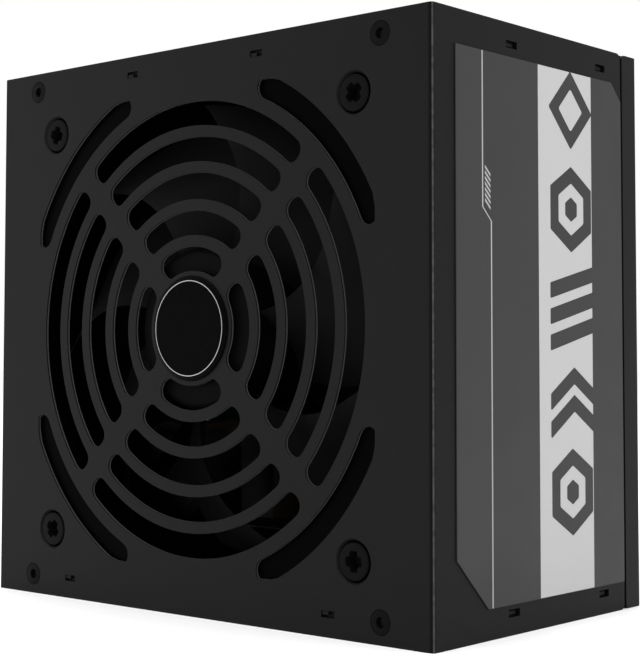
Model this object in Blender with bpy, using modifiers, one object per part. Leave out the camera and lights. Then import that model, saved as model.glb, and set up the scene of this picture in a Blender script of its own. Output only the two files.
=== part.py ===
"""Desktop power supply unit, built the way the real one comes apart on a bench.

The unit stands on its cable end. X is the width of the fan face, -Y is the way the fan face
looks, and +Z points from the cable end to the mains end. The origin is under the middle of
the case. Everything is in metres.
"""

import math

import bmesh
import bpy
from mathutils import Matrix, Vector

# Case, a standard size for desktop computers.
CASE_WIDTH = 0.150
CASE_DEPTH = 0.086
CASE_HEIGHT = 0.140
SHEET = 0.0008
BEND = 0.0009
CLEARANCE = 0.0003
FLUSH_GAP = 0.00015
BACK_LIP = 0.0070
LID_GAP = 0.0009
END_FLANGE = 0.0094

HALF_WIDTH = CASE_WIDTH / 2
FRONT = -CASE_DEPTH / 2
BACK = CASE_DEPTH / 2
INSIDE_X = HALF_WIDTH - SHEET
LIP_TOP = BACK - BACK_LIP
COVER_BACK = LIP_TOP - LID_GAP

# Fan face: five rings of slots between four diagonal spokes, and an arc at each corner.
FAN_CENTRE_Z = CASE_HEIGHT / 2
GRILLE_INNER = 0.0141
GRILLE_BAR = 0.00285
GRILLE_SLOTS = (0.0060, 0.0060, 0.0065, 0.0060, 0.0060)
SPOKE_WIDTH = 0.00515
SLOT_CORNER = 0.0022
CORNER_ARC = (0.0594, 0.0652)
CORNER_ARC_REACH = math.radians(23.4)
GRILLE_LIMIT = 0.0588
ARC_STEP = math.radians(11)

BADGE_RADIUS = 0.01295
BADGE_HEIGHT = 0.00070

# Screws in the case: four on the fan, four that close the cover.
FAN_SCREW_PITCH = 0.105
CASE_SCREW_X = 0.0603
CASE_SCREW_INSET = 0.0050
FRONT_NOTCHES = ((0.022, CASE_HEIGHT - 0.0047), (0.045, 0.0052))
FRONT_NOTCH_SIZE = (0.0040, 0.0016)
SIDE_NOTCHES_Y = (-0.0130, 0.0255)
SIDE_NOTCH_INSET = 0.0050
SIDE_NOTCH_SIZE = (0.0044, 0.00175)

# Labels.
LABEL_THICKNESS = 0.0002
LABEL_Y = (-0.0350, 0.03475)
LABEL_Z = (0.007, 0.132)
LABEL_LOW_CHAMFER = 0.0117
LABEL_HIGH_CHAMFER = 0.0045
RATING_LABEL = (0.104, 0.088)

# Fan, 120 mm square.
FAN_SIZE = 0.120
FAN_THICKNESS = 0.025
FAN_FRONT = FRONT + SHEET + CLEARANCE
FAN_BACK = FAN_FRONT + FAN_THICKNESS
DUCT_RADIUS = 0.0575
HUB_RADIUS = 0.0200
HUB_FRONT = 0.0409
HUB_BACK = 0.0215
MAGNET_RADIUS = (0.0162, 0.0174)
SHAFT_RADIUS = 0.0015
SHAFT_PLAY = 0.00008
BLADE_COUNT = 7
BLADE_REACH = (0.0188, 0.0556)
BLADE_MIDDLE = 0.035
BLADE_START = math.radians(68)
BLADE_SWEEP = (12.4, 360.0)  # turn of the leading edge, in radians for each metre out and its square
BLADE_THICKNESS = 0.0014

# Mains end: socket, rocker switch and honeycomb vents.
INLET_X = -0.046
INLET_Y = 0.014
INLET_BODY = (0.0270, 0.0196)
INLET_FLANGE = (0.0308, 0.0234)
INLET_CAVITY = (0.0242, 0.0166)
INLET_DEPTH = 0.0220
INLET_FLOOR = 0.0085
PIN_SIZE = (0.0020, 0.0040)
PIN_SPACING = 0.0070
SWITCH_X = -0.014
SWITCH_Y = 0.014
SWITCH_BODY = (0.0130, 0.0192)
SWITCH_FLANGE = (0.0152, 0.0212)
SWITCH_OPENING = (0.0108, 0.0170)
ROCKER_RADIUS = 0.0082
ROCKER_TILT = math.radians(10)
ROCKER_PIVOT_Z = CASE_HEIGHT + 0.0006
VENT_PITCH = 0.0084
VENT_RADIUS = 0.0040
MOUNT_HOLES = ((-0.069, -0.027), (-0.069, 0.037), (0.045, 0.037), (0.069, -0.037))
MOUNT_HOLE_RADIUS = 0.0018

# Cable end.
GROMMET_CENTRE = (0.036, 0.008)
GROMMET_SIZE = (0.034, 0.020)
GROMMET_WALL = 0.0020

# Circuit board.
BOARD_FRONT = 0.0346
BOARD_THICKNESS = 0.0016
BOARD_SIZE = (0.132, 0.116)
BOARD_CENTRE_Z = 0.070
BOARD_HOLES = ((-0.060, 0.018), (0.060, 0.018), (-0.060, 0.122), (0.060, 0.122))
SEAT_Y = BOARD_FRONT - CLEARANCE

# Colour, roughness and metallic value of each finish.
FINISHES = {
    "black_steel": ((0.028, 0.026, 0.027), 0.45, 0.3),
    "screw_steel": ((0.050, 0.048, 0.048), 0.35, 0.8),
    "badge": ((0.006, 0.006, 0.006), 0.20, 0.2),
    "label": ((0.075, 0.075, 0.078), 0.50, 0.0),
    "fan_plastic": ((0.010, 0.010, 0.011), 0.20, 0.0),
    "black_plastic": ((0.012, 0.012, 0.012), 0.40, 0.0),
    "bare_steel": ((0.55, 0.55, 0.57), 0.30, 1.0),
    "magnet": ((0.060, 0.056, 0.054), 0.60, 0.4),
    "brass": ((0.66, 0.50, 0.24), 0.30, 1.0),
    "aluminium": ((0.62, 0.63, 0.65), 0.40, 1.0),
    "board": ((0.030, 0.130, 0.060), 0.50, 0.0),
    "insulator": ((0.70, 0.68, 0.62), 0.50, 0.0),
    "winding": ((0.55, 0.24, 0.09), 0.35, 0.8),
    "core_yellow": ((0.70, 0.48, 0.08), 0.45, 0.0),
    "capacitor": ((0.018, 0.020, 0.040), 0.35, 0.0),
    "ferrite": ((0.070, 0.070, 0.075), 0.60, 0.0),
}


def make_collection(name):
    collection = bpy.data.collections.new(name)
    bpy.context.scene.collection.children.link(collection)
    return collection


def make_finish(name):
    """Principled material for one finish, made once."""
    existing = bpy.data.materials.get(name)
    if existing:
        return existing
    colour, roughness, metallic = FINISHES[name]
    finish = bpy.data.materials.new(name)
    finish.use_nodes = True
    shader = finish.node_tree.nodes["Principled BSDF"]
    shader.inputs["Base Color"].default_value = (*colour, 1.0)
    shader.inputs["Roughness"].default_value = roughness
    shader.inputs["Metallic"].default_value = metallic
    return finish


def add_object(name, mesh, finish, location=(0, 0, 0), rotation=(0, 0, 0)):
    """Put a mesh in the part's collection, or among the cutters when it has no finish."""
    piece = bpy.data.objects.new(name, mesh)
    piece.location = location
    piece.rotation_euler = rotation
    if finish is None:
        piece.hide_render = True
        piece.display_type = "WIRE"
        cutters.objects.link(piece)
    else:
        mesh.materials.append(make_finish(finish))
        part.objects.link(piece)
    return piece


def finish_mesh(name, bm):
    mesh = bpy.data.meshes.new(name)
    bm.to_mesh(mesh)
    bm.free()
    return mesh


def boxes(name, spans, finish=None, bevel=0.0):
    """One object made of boxes, each given by its lowest and highest corner."""
    bm = bmesh.new()
    for low, high in spans:
        low, high = Vector(low), Vector(high)
        place = Matrix.Translation((low + high) / 2) @ Matrix.Diagonal((*(high - low), 1))
        bmesh.ops.create_cube(bm, size=1, matrix=place)
    piece = add_object(name, finish_mesh(name, bm), finish)
    if bevel:
        add_bevel(piece, bevel)
    return piece


def rods(name, centres, radius, length, finish=None, axis="Y", tip_radius=None, sides=16):
    """One object made of round rods along an axis; tip_radius makes them taper."""
    turn = {"X": Matrix.Rotation(math.pi / 2, 4, "Y"), "Z": Matrix.Identity(4)}.get(
        axis, Matrix.Rotation(math.pi / 2, 4, "X")
    )
    bm = bmesh.new()
    for centre in centres:
        bmesh.ops.create_cone(
            bm,
            cap_ends=True,
            segments=sides,
            radius1=radius,
            radius2=radius if tip_radius is None else tip_radius,
            depth=length,
            matrix=Matrix.Translation(centre) @ turn,
        )
    piece = add_object(name, finish_mesh(name, bm), finish)
    piece.data.shade_smooth()
    piece.data.set_sharp_from_angle(angle=math.radians(35))
    return piece


FACING = {
    "X": (math.pi / 2, 0, math.pi / 2),
    "Y": (math.pi / 2, 0, 0),
    "Z": (0, 0, 0),
}


def plate(name, outlines, span, finish=None, axis="Z"):
    """Flat outlines filled and extruded along an axis, from span[0] to span[1].

    An outline inside another is a hole in it. Outlines are (x, y) for the Z axis, (x, z)
    for the Y axis and (y, z) for the X axis.
    """
    curve = bpy.data.curves.new(name, "CURVE")
    curve.dimensions = "2D"
    curve.fill_mode = "BOTH"
    curve.extrude = (span[1] - span[0]) / 2
    for outline in outlines:
        spline = curve.splines.new("POLY")
        spline.points.add(len(outline) - 1)
        spline.use_cyclic_u = True
        for point, place in zip(spline.points, outline):
            point.co = (*place, 0, 1)
    drawing = bpy.data.objects.new(name, curve)
    bpy.context.scene.collection.objects.link(drawing)
    seen = drawing.evaluated_get(bpy.context.evaluated_depsgraph_get())
    mesh = bpy.data.meshes.new_from_object(seen)
    bpy.data.objects.remove(drawing)
    bm = bmesh.new()
    bm.from_mesh(mesh)
    bmesh.ops.remove_doubles(bm, verts=bm.verts, dist=1e-6)
    bmesh.ops.recalc_face_normals(bm, faces=bm.faces)
    bm.to_mesh(mesh)
    bm.free()
    location = Vector((0, 0, 0))
    location["XYZ".index(axis)] = (span[0] + span[1]) / 2
    return add_object(name, mesh, finish, location, FACING[axis])


def turned(name, profile, finish=None, location=(0, 0, 0), steps=24, closed=False, axis="Y"):
    """Profile of (radius, height) points turned about an axis.

    On the Y axis height counts towards -Y, the way the fan face looks. The profile runs
    down its outer side.
    """
    bm = bmesh.new()
    points = [bm.verts.new((radius, 0, height)) for radius, height in profile]
    for first, second in zip(points, points[1:]):
        bm.edges.new((first, second))
    if closed:
        bm.edges.new((points[-1], points[0]))
    piece = add_object(name, finish_mesh(name, bm), finish, location, FACING[axis])
    screw = piece.modifiers.new("Turn", "SCREW")
    screw.steps = steps
    screw.render_steps = steps
    screw.use_merge_vertices = True
    screw.merge_threshold = 1e-5
    return piece


def add_bevel(piece, width, segments=1):
    bevel = piece.modifiers.new("Bevel", "BEVEL")
    bevel.width = width
    bevel.segments = segments
    bevel.limit_method = "ANGLE"


def combine(piece, other, operation):
    """Cut another object out of a piece, or join it on, and keep it among the cutters."""
    step = piece.modifiers.new(other.name, "BOOLEAN")
    step.operation = operation
    step.solver = "EXACT"
    step.object = other


def polar(radius, angle):
    return (radius * math.cos(angle), radius * math.sin(angle))


def arc(centre, radius, start, end, step=ARC_STEP):
    """Points along an arc, both ends included."""
    count = max(1, math.ceil(abs(end - start) / step - 1e-6))
    spots = (polar(radius, start + (end - start) * i / count) for i in range(count + 1))
    return [(centre[0] + x, centre[1] + y) for x, y in spots]


def circle(centre, radius, sides=24):
    return arc(centre, radius, 0, 2 * math.pi * (1 - 1 / sides), 2 * math.pi / sides)


def rounded_rectangle(centre, size, corner, step=math.radians(30)):
    half_x = size[0] / 2 - corner
    half_y = size[1] / 2 - corner
    points = []
    for turn, (sx, sy) in enumerate(((1, 1), (-1, 1), (-1, -1), (1, -1))):
        middle = (centre[0] + sx * half_x, centre[1] + sy * half_y)
        start = turn * math.pi / 2
        points += arc(middle, corner, start, start + math.pi / 2, step)
    return points


def rotate_outline(outline, angle):
    cos, sin = math.cos(angle), math.sin(angle)
    return [(x * cos - y * sin, x * sin + y * cos) for x, y in outline]


def move_outline(outline, x, y):
    return [(px + x, py + y) for px, py in outline]


def grille_slot(inner, outer):
    """Slot facing +X: two arcs, and ends that run along the diagonal spokes."""
    spoke = math.pi / 4
    offset = SPOKE_WIDTH / 2 + SLOT_CORNER
    corner_step = math.radians(45)

    def corner_centre(radius):
        return radius, spoke - math.asin(offset / radius)

    out_radius, out_angle = corner_centre(outer - SLOT_CORNER)
    in_radius, in_angle = corner_centre(inner + SLOT_CORNER)
    across = spoke + math.pi / 2
    upper = arc(polar(out_radius, out_angle), SLOT_CORNER, out_angle, across, corner_step)
    upper += arc(polar(in_radius, in_angle), SLOT_CORNER, across, in_angle + math.pi, corner_step)
    lower = [(x, -y) for x, y in reversed(upper)]
    outside = arc((0, 0), outer, -out_angle, out_angle)[1:-1]
    inside = arc((0, 0), inner, in_angle, -in_angle)[1:-1]
    return upper + inside + lower + outside


def corner_slot():
    """Arc slot on the diagonal, with round ends, kept inside the fan's square."""
    inner, outer = CORNER_ARC
    end = (outer - inner) / 2
    middle = (outer + inner) / 2
    reach = CORNER_ARC_REACH
    points = arc((0, 0), outer, -reach, reach)
    points += arc(polar(middle, reach), end, reach, reach + math.pi, math.radians(36))[1:-1]
    points += arc((0, 0), inner, reach, -reach)
    points += arc(polar(middle, -reach), end, math.pi - reach, 2 * math.pi - reach, math.radians(36))[1:-1]
    turned_points = rotate_outline(points, math.pi / 4)
    return [(min(x, GRILLE_LIMIT), min(y, GRILLE_LIMIT)) for x, y in turned_points]


def four_corners(x, z_low, z_high):
    """The four places at plus and minus x, low and high, named from lower left round."""
    return ((-x, z_low), (x, z_low), (x, z_high), (-x, z_high))


FAN_SCREWS = four_corners(
    FAN_SCREW_PITCH / 2, FAN_CENTRE_Z - FAN_SCREW_PITCH / 2, FAN_CENTRE_Z + FAN_SCREW_PITCH / 2
)
CASE_SCREWS = four_corners(CASE_SCREW_X, CASE_SCREW_INSET, CASE_HEIGHT - CASE_SCREW_INSET)


def front_notches():
    """Middles of the four notches in the fan face."""
    return [(side * x, z) for x, z in FRONT_NOTCHES for side in (-1, 1)]


def side_notches():
    """Middles of the four notches in each side, as (y, z)."""
    heights = (SIDE_NOTCH_INSET, CASE_HEIGHT - SIDE_NOTCH_INSET)
    return [(y, z) for y in SIDE_NOTCHES_Y for z in heights]


def build_grille_cutter():
    outlines = []
    radius = GRILLE_INNER
    for width in GRILLE_SLOTS:
        slot = grille_slot(radius, radius + width)
        outlines += [rotate_outline(slot, quarter * math.pi / 2) for quarter in range(4)]
        radius += width + GRILLE_BAR
    outlines += [rotate_outline(corner_slot(), quarter * math.pi / 2) for quarter in range(4)]
    outlines = [move_outline(outline, 0, FAN_CENTRE_Z) for outline in outlines]
    return plate("cut_grille", outlines, (FRONT - SHEET, FRONT + 2 * SHEET), axis="Y")


def build_fan_cover():
    """U-shaped cover: the fan face and both sides, bent from one sheet."""
    outline = [(HALF_WIDTH, COVER_BACK)]
    outline += arc((HALF_WIDTH - BEND, FRONT + BEND), BEND, 0, -math.pi / 2, math.radians(45))
    outline += arc((BEND - HALF_WIDTH, FRONT + BEND), BEND, -math.pi / 2, -math.pi, math.radians(45))
    outline += [(-HALF_WIDTH, COVER_BACK), (-INSIDE_X, COVER_BACK), (-INSIDE_X, FRONT + SHEET)]
    outline += [(INSIDE_X, FRONT + SHEET), (INSIDE_X, COVER_BACK)]
    cover = plate("fan_cover", [outline], (0, CASE_HEIGHT), "black_steel")
    combine(cover, build_grille_cutter(), "DIFFERENCE")

    half_x, half_z = FRONT_NOTCH_SIZE[0] / 2, FRONT_NOTCH_SIZE[1] / 2
    spans = [
        ((x - half_x, FRONT - SHEET, z - half_z), (x + half_x, FRONT + 2 * SHEET, z + half_z))
        for x, z in front_notches()
    ]
    half_y, half_z = SIDE_NOTCH_SIZE[0] / 2, SIDE_NOTCH_SIZE[1] / 2
    for side in (-1, 1):
        near, far = sorted((side * (INSIDE_X - SHEET), side * (HALF_WIDTH + SHEET)))
        spans += [
            ((near, y - half_y, z - half_z), (far, y + half_y, z + half_z))
            for y, z in side_notches()
        ]
    combine(cover, boxes("cut_cover_notches", spans), "DIFFERENCE")

    middle = FRONT + SHEET / 2
    dimples = rods(
        "cut_fan_dimples",
        [(x, middle, z) for x, z in FAN_SCREWS],
        0.003875,
        2 * SHEET,
        tip_radius=0.005575,
    )
    combine(cover, dimples, "DIFFERENCE")
    sinks = rods(
        "cut_case_sinks", [(x, middle, z) for x, z in CASE_SCREWS], 0.0024, 2 * SHEET, tip_radius=0.0038
    )
    combine(cover, sinks, "DIFFERENCE")


def sheet_profile(corners, thickness, bend):
    """Closed outline of a bent sheet whose outer side follows the corners in order.

    The sheet lies on the left of the way it runs.
    """
    outer, inner = [], []
    for index, corner in enumerate(corners):
        here = Vector(corner)
        before = (here - Vector(corners[index - 1])).normalized() if index else None
        after = (
            (Vector(corners[index + 1]) - here).normalized() if index < len(corners) - 1 else None
        )
        if before is None or after is None:
            run = before or after
            outer.append(tuple(here))
            inner.append(tuple(here + thickness * Vector((-run.y, run.x))))
            continue
        outer += [tuple(here - bend * before), tuple(here + bend * after)]
        inner.append(tuple(here + thickness * (after - before)))
    return outer + inner[::-1]


def vent_centres():
    """Honeycomb places on the mains end, clear of the socket, switch and mounting holes."""
    keep_out = [
        (INLET_X, INLET_Y, INLET_FLANGE[0] / 2 + 0.005, INLET_FLANGE[1] / 2 + 0.005),
        (SWITCH_X, SWITCH_Y, SWITCH_FLANGE[0] / 2 + 0.005, SWITCH_FLANGE[1] / 2 + 0.005),
    ]
    keep_out += [(x, y, 0.0082, 0.0082) for x, y in MOUNT_HOLES]
    places = []
    row_pitch = VENT_PITCH * math.sqrt(3) / 2
    for row in range(-4, 5):
        shift = VENT_PITCH / 2 if row % 2 else 0
        for column in range(-8, 9):
            x, y = column * VENT_PITCH + shift, row * row_pitch
            if abs(x) > 0.0655:
                continue
            if all(abs(x - cx) > hx or abs(y - cy) > hy for cx, cy, hx, hy in keep_out):
                places.append((x, y))
    return places


def build_base_shell():
    """Back panel with both ends bent from it, their inner flanges, and the side lips."""
    edge = FRONT + SHEET + CLEARANCE
    corners = [
        (edge, CASE_HEIGHT - END_FLANGE),
        (edge, CASE_HEIGHT),
        (BACK, CASE_HEIGHT),
        (BACK, 0),
        (edge, 0),
        (edge, END_FLANGE),
    ]
    outline = sheet_profile(corners[::-1], SHEET, BEND)
    reach = INSIDE_X - CLEARANCE
    shell = plate("base_shell", [outline], (-reach, reach), "black_steel", axis="X")

    for side, name in ((-1, "left"), (1, "right")):
        lip = [(side * 0.072, BACK)]
        lip += [(side * (HALF_WIDTH - BEND), BACK), (side * HALF_WIDTH, BACK - BEND)]
        lip += [(side * HALF_WIDTH, LIP_TOP), (side * INSIDE_X, LIP_TOP)]
        lip += [(side * INSIDE_X, BACK - SHEET), (side * 0.072, BACK - SHEET)]
        combine(shell, plate(f"add_{name}_lip", [lip], (0.0006, CASE_HEIGHT - 0.0006)), "UNION")

    side_flange_x = reach - 0.0002
    flanges, hooks = [], []
    for side in (-1, 1):
        near, far = sorted((side * side_flange_x, side * (side_flange_x - SHEET)))
        for low, high in ((0.0004, END_FLANGE), (CASE_HEIGHT - END_FLANGE, CASE_HEIGHT - 0.0004)):
            flanges.append(((near, edge + 0.0004, low), (far, BACK - 0.0004, high)))
        near, far = sorted((side * (side_flange_x - SHEET / 2), side * (HALF_WIDTH - CLEARANCE)))
        hooks += [((near, y - 0.0018, z - 0.0005), (far, y + 0.0018, z + 0.0005)) for y, z in side_notches()]
    hooks += [
        ((x - 0.0016, FRONT + CLEARANCE, z - 0.00045), (x + 0.0016, edge + SHEET / 2, z + 0.00045))
        for x, z in front_notches()
    ]
    combine(shell, boxes("add_end_flanges", flanges), "UNION")
    combine(shell, boxes("add_hooks", hooks), "UNION")

    top = (CASE_HEIGHT - 2 * SHEET, CASE_HEIGHT + SHEET)
    hexagons = [
        arc(centre, VENT_RADIUS, math.pi / 6, math.pi * 11 / 6, math.pi / 3) for centre in vent_centres()
    ]
    holes = [circle(centre, MOUNT_HOLE_RADIUS, 12) for centre in MOUNT_HOLES]
    sockets = [
        rounded_rectangle((INLET_X, INLET_Y), grown(INLET_BODY), 0.001),
        rounded_rectangle((SWITCH_X, SWITCH_Y), grown(SWITCH_BODY), 0.001),
    ]
    combine(shell, plate("cut_mains_end", hexagons + holes + sockets, top), "DIFFERENCE")

    outlet = rounded_rectangle(GROMMET_CENTRE, grown(GROMMET_SIZE), GROMMET_SIZE[1] / 2)
    combine(shell, plate("cut_cable_outlet", [outlet], (-SHEET, 2 * SHEET)), "DIFFERENCE")
    screw_holes = rods(
        "cut_flange_holes", [(x, edge + SHEET / 2, z) for x, z in CASE_SCREWS], 0.0023, 3 * SHEET, sides=12
    )
    combine(shell, screw_holes, "DIFFERENCE")


def grown(size):
    """A rectangle's size with clearance all round."""
    return (size[0] + 2 * CLEARANCE, size[1] + 2 * CLEARANCE)


def build_screws():
    """Flat-headed screws; height counts from the middle of the case towards the fan face."""
    face = -FRONT
    case_profile = [(0, face), (0.00285, face), (0.00285, face - 0.0002), (0.0015, face - 0.0015)]
    case_profile += [(0.0015, face - 0.0060), (0, face - 0.0060)]
    for number, (x, z) in enumerate(CASE_SCREWS, 1):
        turned(f"case_screw_{number}", case_profile, "screw_steel", (x, 0, z), steps=12)
    fan_profile = [(0, face), (0.0039, face), (0.0039, face - 0.0005), (0.0025, face - 0.0025)]
    fan_profile += [(0.0025, face - 0.0100), (0, face - 0.0100)]
    for number, (x, z) in enumerate(FAN_SCREWS, 1):
        turned(f"fan_screw_{number}", fan_profile, "screw_steel", (x, 0, z), steps=12)


def build_badge():
    back = -FRONT + FLUSH_GAP
    front = back + BADGE_HEIGHT
    profile = [(0, front), (BADGE_RADIUS - 0.0008, front), (BADGE_RADIUS, front - 0.0003)]
    profile += [(BADGE_RADIUS, back), (0, back)]
    turned("hub_badge", profile, "badge", (0, 0, FAN_CENTRE_Z), steps=32)


def build_labels():
    (y_low, y_high), (z_low, z_high) = LABEL_Y, LABEL_Z
    low_cut, high_cut = LABEL_LOW_CHAMFER, LABEL_HIGH_CHAMFER
    outline = [(y_low, z_high), (y_low, z_low + low_cut), (y_low + low_cut, z_low), (y_high, z_low)]
    outline += [(y_high, z_high - high_cut), (y_high - high_cut, z_high)]
    near = HALF_WIDTH + FLUSH_GAP
    far = near + LABEL_THICKNESS
    plate("side_label", [outline], (near, far), "label", axis="X")
    plate("side_label_left", [outline], (-far, -near), "label", axis="X")
    rating = rounded_rectangle((0, CASE_HEIGHT / 2), RATING_LABEL, 0.002)
    near = BACK + FLUSH_GAP
    plate("rating_label", [rating], (near, near + LABEL_THICKNESS), "label", axis="Y")


def build_fan_frame():
    """Square plastic frame with an open duct, corner pockets, four struts and a motor base."""
    square = rounded_rectangle((0, FAN_CENTRE_Z), (FAN_SIZE, FAN_SIZE), 0.006)
    duct = circle((0, FAN_CENTRE_Z), DUCT_RADIUS, 48)
    frame = plate("fan_frame", [square, duct], (FAN_FRONT, FAN_BACK), "fan_plastic", axis="Y")

    reach = math.radians(31)
    pocket = arc((0, 0), DUCT_RADIUS + 0.0028, math.pi / 4 - reach, math.pi / 4 + reach)
    far = FAN_SIZE / 2 + 0.001
    pocket += [(pocket[-1][0], far), (far, far), (far, pocket[0][1])]
    pockets = [
        move_outline(rotate_outline(pocket, quarter * math.pi / 2), 0, FAN_CENTRE_Z)
        for quarter in range(4)
    ]
    flange = 0.004
    combine(
        frame, plate("cut_pockets", pockets, (FAN_FRONT + flange, FAN_BACK - flange), axis="Y"), "DIFFERENCE"
    )
    middle = (FAN_FRONT + FAN_BACK) / 2
    holes = rods("cut_fan_holes", [(x, middle, z) for x, z in FAN_SCREWS], 0.0029, 0.030, sides=12)
    combine(frame, holes, "DIFFERENCE")
    recesses = rods(
        "cut_fan_recesses", [(x, FAN_FRONT + 0.0005, z) for x, z in FAN_SCREWS], 0.0050, 0.0030, sides=12
    )
    combine(frame, recesses, "DIFFERENCE")

    back = -FAN_BACK
    floor, top = back + 0.0020, back + 0.0166
    tube = [(0, floor), (0.0035, floor), (0.0035, top), (0.0048, top), (0.0048, floor)]
    tube += [(0.0210, floor), (0.0210, back), (0, back)]
    base = turned("add_motor_base", tube, location=(0, 0, FAN_CENTRE_Z))
    combine(frame, base, "UNION")
    strut = [(0.0195, -0.0019), (0.0588, -0.0019), (0.0588, 0.0019), (0.0195, 0.0019)]
    struts = [
        move_outline(rotate_outline(strut, math.pi / 4 + quarter * math.pi / 2), 0, FAN_CENTRE_Z)
        for quarter in range(4)
    ]
    combine(frame, plate("add_struts", struts, (FAN_BACK - 0.0028, FAN_BACK - 0.0002), axis="Y"), "UNION")


def stator_outline():
    """Four T-shaped poles round a hub."""
    points = []
    for pole in range(4):
        facing = pole * math.pi / 2
        reach = math.radians(36)
        points.append(rotate_outline([(0.0066, -0.0022)], facing)[0])
        points.append(rotate_outline([(0.0118, -0.0022)], facing)[0])
        points.append(polar(0.0138, facing - reach))
        points += arc((0, 0), 0.0156, facing - reach, facing + reach, math.radians(18))
        points.append(polar(0.0138, facing + reach))
        points.append(rotate_outline([(0.0118, 0.0022)], facing)[0])
        points.append(rotate_outline([(0.0066, 0.0022)], facing)[0])
    return points


def blade_surface():
    """Open surface of all the blades: each sweeps forward and flattens towards its tip."""
    bm = bmesh.new()
    inner, outer = BLADE_REACH
    spans, chords = 5, 5
    for blade in range(BLADE_COUNT):
        start = BLADE_START + blade * 2 * math.pi / BLADE_COUNT
        grid = []
        for i in range(spans + 1):
            radius = inner + (outer - inner) * i / spans
            out = radius - BLADE_MIDDLE
            leading = start + BLADE_SWEEP[0] * out + BLADE_SWEEP[1] * out * out
            for j in range(chords + 1):
                along = j / chords
                angle = leading - math.radians(42 - 3 * i / spans) * along
                height = 0.0392 - 0.0166 * (along + 0.16 * math.sin(math.pi * along))
                grid.append(bm.verts.new((*polar(radius, angle), height)))
        for i in range(spans):
            for j in range(chords):
                corner = i * (chords + 1) + j
                bm.faces.new([grid[corner + k] for k in (0, chords + 1, chords + 2, 1)])
    return finish_mesh("blades", bm)


def build_rotor():
    """Everything that spins: the impeller, the magnet ring in its hub and the shaft."""
    axle = bpy.data.objects.new("fan_axis", None)
    axle.location = (0, 0, FAN_CENTRE_Z)
    axle.rotation_euler = FACING["Y"]
    part.objects.link(axle)

    inner = HUB_RADIUS - 0.0023
    seat = SHAFT_RADIUS + 0.0001
    profile = [(0, HUB_FRONT), (HUB_RADIUS - 0.0016, HUB_FRONT), (HUB_RADIUS, HUB_FRONT - 0.0014)]
    profile += [(HUB_RADIUS, HUB_BACK), (inner, HUB_BACK), (inner, HUB_FRONT - 0.0017)]
    profile += [(0.0036, HUB_FRONT - 0.0017), (0.0036, HUB_FRONT - 0.0055), (seat, HUB_FRONT - 0.0055)]
    profile += [(seat, HUB_FRONT - 0.0009), (0, HUB_FRONT - 0.0009)]
    impeller = turned("fan_impeller", profile, "fan_plastic", axis="Z", steps=28)
    blades = add_object("add_blades", blade_surface(), None)
    solidify = blades.modifiers.new("Thickness", "SOLIDIFY")
    solidify.thickness = BLADE_THICKNESS
    solidify.offset = 0
    combine(impeller, blades, "UNION")

    near, far = MAGNET_RADIUS
    ring = [(far, 0.0375), (far, 0.0225), (near, 0.0225), (near, 0.0375)]
    magnet = turned("fan_magnet_ring", ring, "magnet", axis="Z", steps=24, closed=True)
    rod = [(0, 0.0397), (SHAFT_RADIUS, 0.0397), (SHAFT_RADIUS, 0.0198), (0, 0.0198)]
    shaft = turned("fan_shaft", rod, "bare_steel", axis="Z", steps=16)
    for piece in (impeller, blades, magnet, shaft):
        piece.parent = axle


def build_motor():
    """The parts of the motor that stand still: bearing sleeve and stator."""
    bore = SHAFT_RADIUS + SHAFT_PLAY
    sleeve = [(0.0032, 0.0330), (0.0032, 0.0193), (bore, 0.0193), (bore, 0.0330)]
    turned("fan_bearing", sleeve, "brass", (0, 0, FAN_CENTRE_Z), steps=16, closed=True)
    outlines = [stator_outline(), circle((0, 0), 0.0051, 24)]
    outlines = [move_outline(outline, 0, FAN_CENTRE_Z) for outline in outlines]
    plate("fan_stator", outlines, (-0.0330, -0.0240), "winding", axis="Y")


def cavity_outline(size, chamfer):
    """Socket mouth: a rectangle with its two +Y corners cut off."""
    x, y = size[0] / 2, size[1] / 2
    outline = [(-x, -y), (x, -y), (x, y - chamfer), (x - chamfer, y), (chamfer - x, y), (-x, y - chamfer)]
    return move_outline(outline, INLET_X, INLET_Y)


def build_inlet():
    """Mains socket: a moulded body behind a flange, with three flat pins."""
    top = CASE_HEIGHT + CLEARANCE
    bottom = CASE_HEIGHT - INLET_DEPTH
    flange = rounded_rectangle((INLET_X, INLET_Y), INLET_FLANGE, 0.0020)
    housing = plate("inlet_housing", [flange], (top, top + 0.0022), "black_plastic")
    body = rounded_rectangle((INLET_X, INLET_Y), INLET_BODY, 0.0008)
    combine(housing, plate("add_inlet_body", [body], (bottom, top + 0.0010)), "UNION")
    mouth = cavity_outline(INLET_CAVITY, 0.0042)
    combine(housing, plate("cut_inlet_mouth", [mouth], (bottom + INLET_FLOOR, top + 0.0040)), "DIFFERENCE")

    half_x, half_y = PIN_SIZE[0] / 2, PIN_SIZE[1] / 2
    pins = (("live", -PIN_SPACING, -0.0020), ("neutral", PIN_SPACING, -0.0020), ("earth", 0, 0.0020))
    slots = []
    for name, x, y in pins:
        x, y = INLET_X + x, INLET_Y + y
        low = (x - half_x, y - half_y, bottom - 0.0080)
        high = (x + half_x, y + half_y, CASE_HEIGHT - 0.0015)
        boxes(f"inlet_pin_{name}", [(low, high)], "brass", bevel=0.0004)
        slots.append(
            (
                (x - half_x - CLEARANCE, y - half_y - CLEARANCE, bottom - 0.001),
                (x + half_x + CLEARANCE, y + half_y + CLEARANCE, bottom + INLET_FLOOR + 0.001),
            )
        )
    combine(housing, boxes("cut_pin_slots", slots), "DIFFERENCE")


def rocker_outline():
    """Side view of the rocker about its pivot: a shallow V on top, round ends, a keel below."""
    end = math.radians(16)
    right = arc((0, 0), ROCKER_RADIUS, end, math.radians(-20), math.radians(12))
    left = [(-y, z) for y, z in reversed(right)]
    return [(0, 0.0009)] + right + [(0.0022, -0.0048), (-0.0022, -0.0048)] + left


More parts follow.
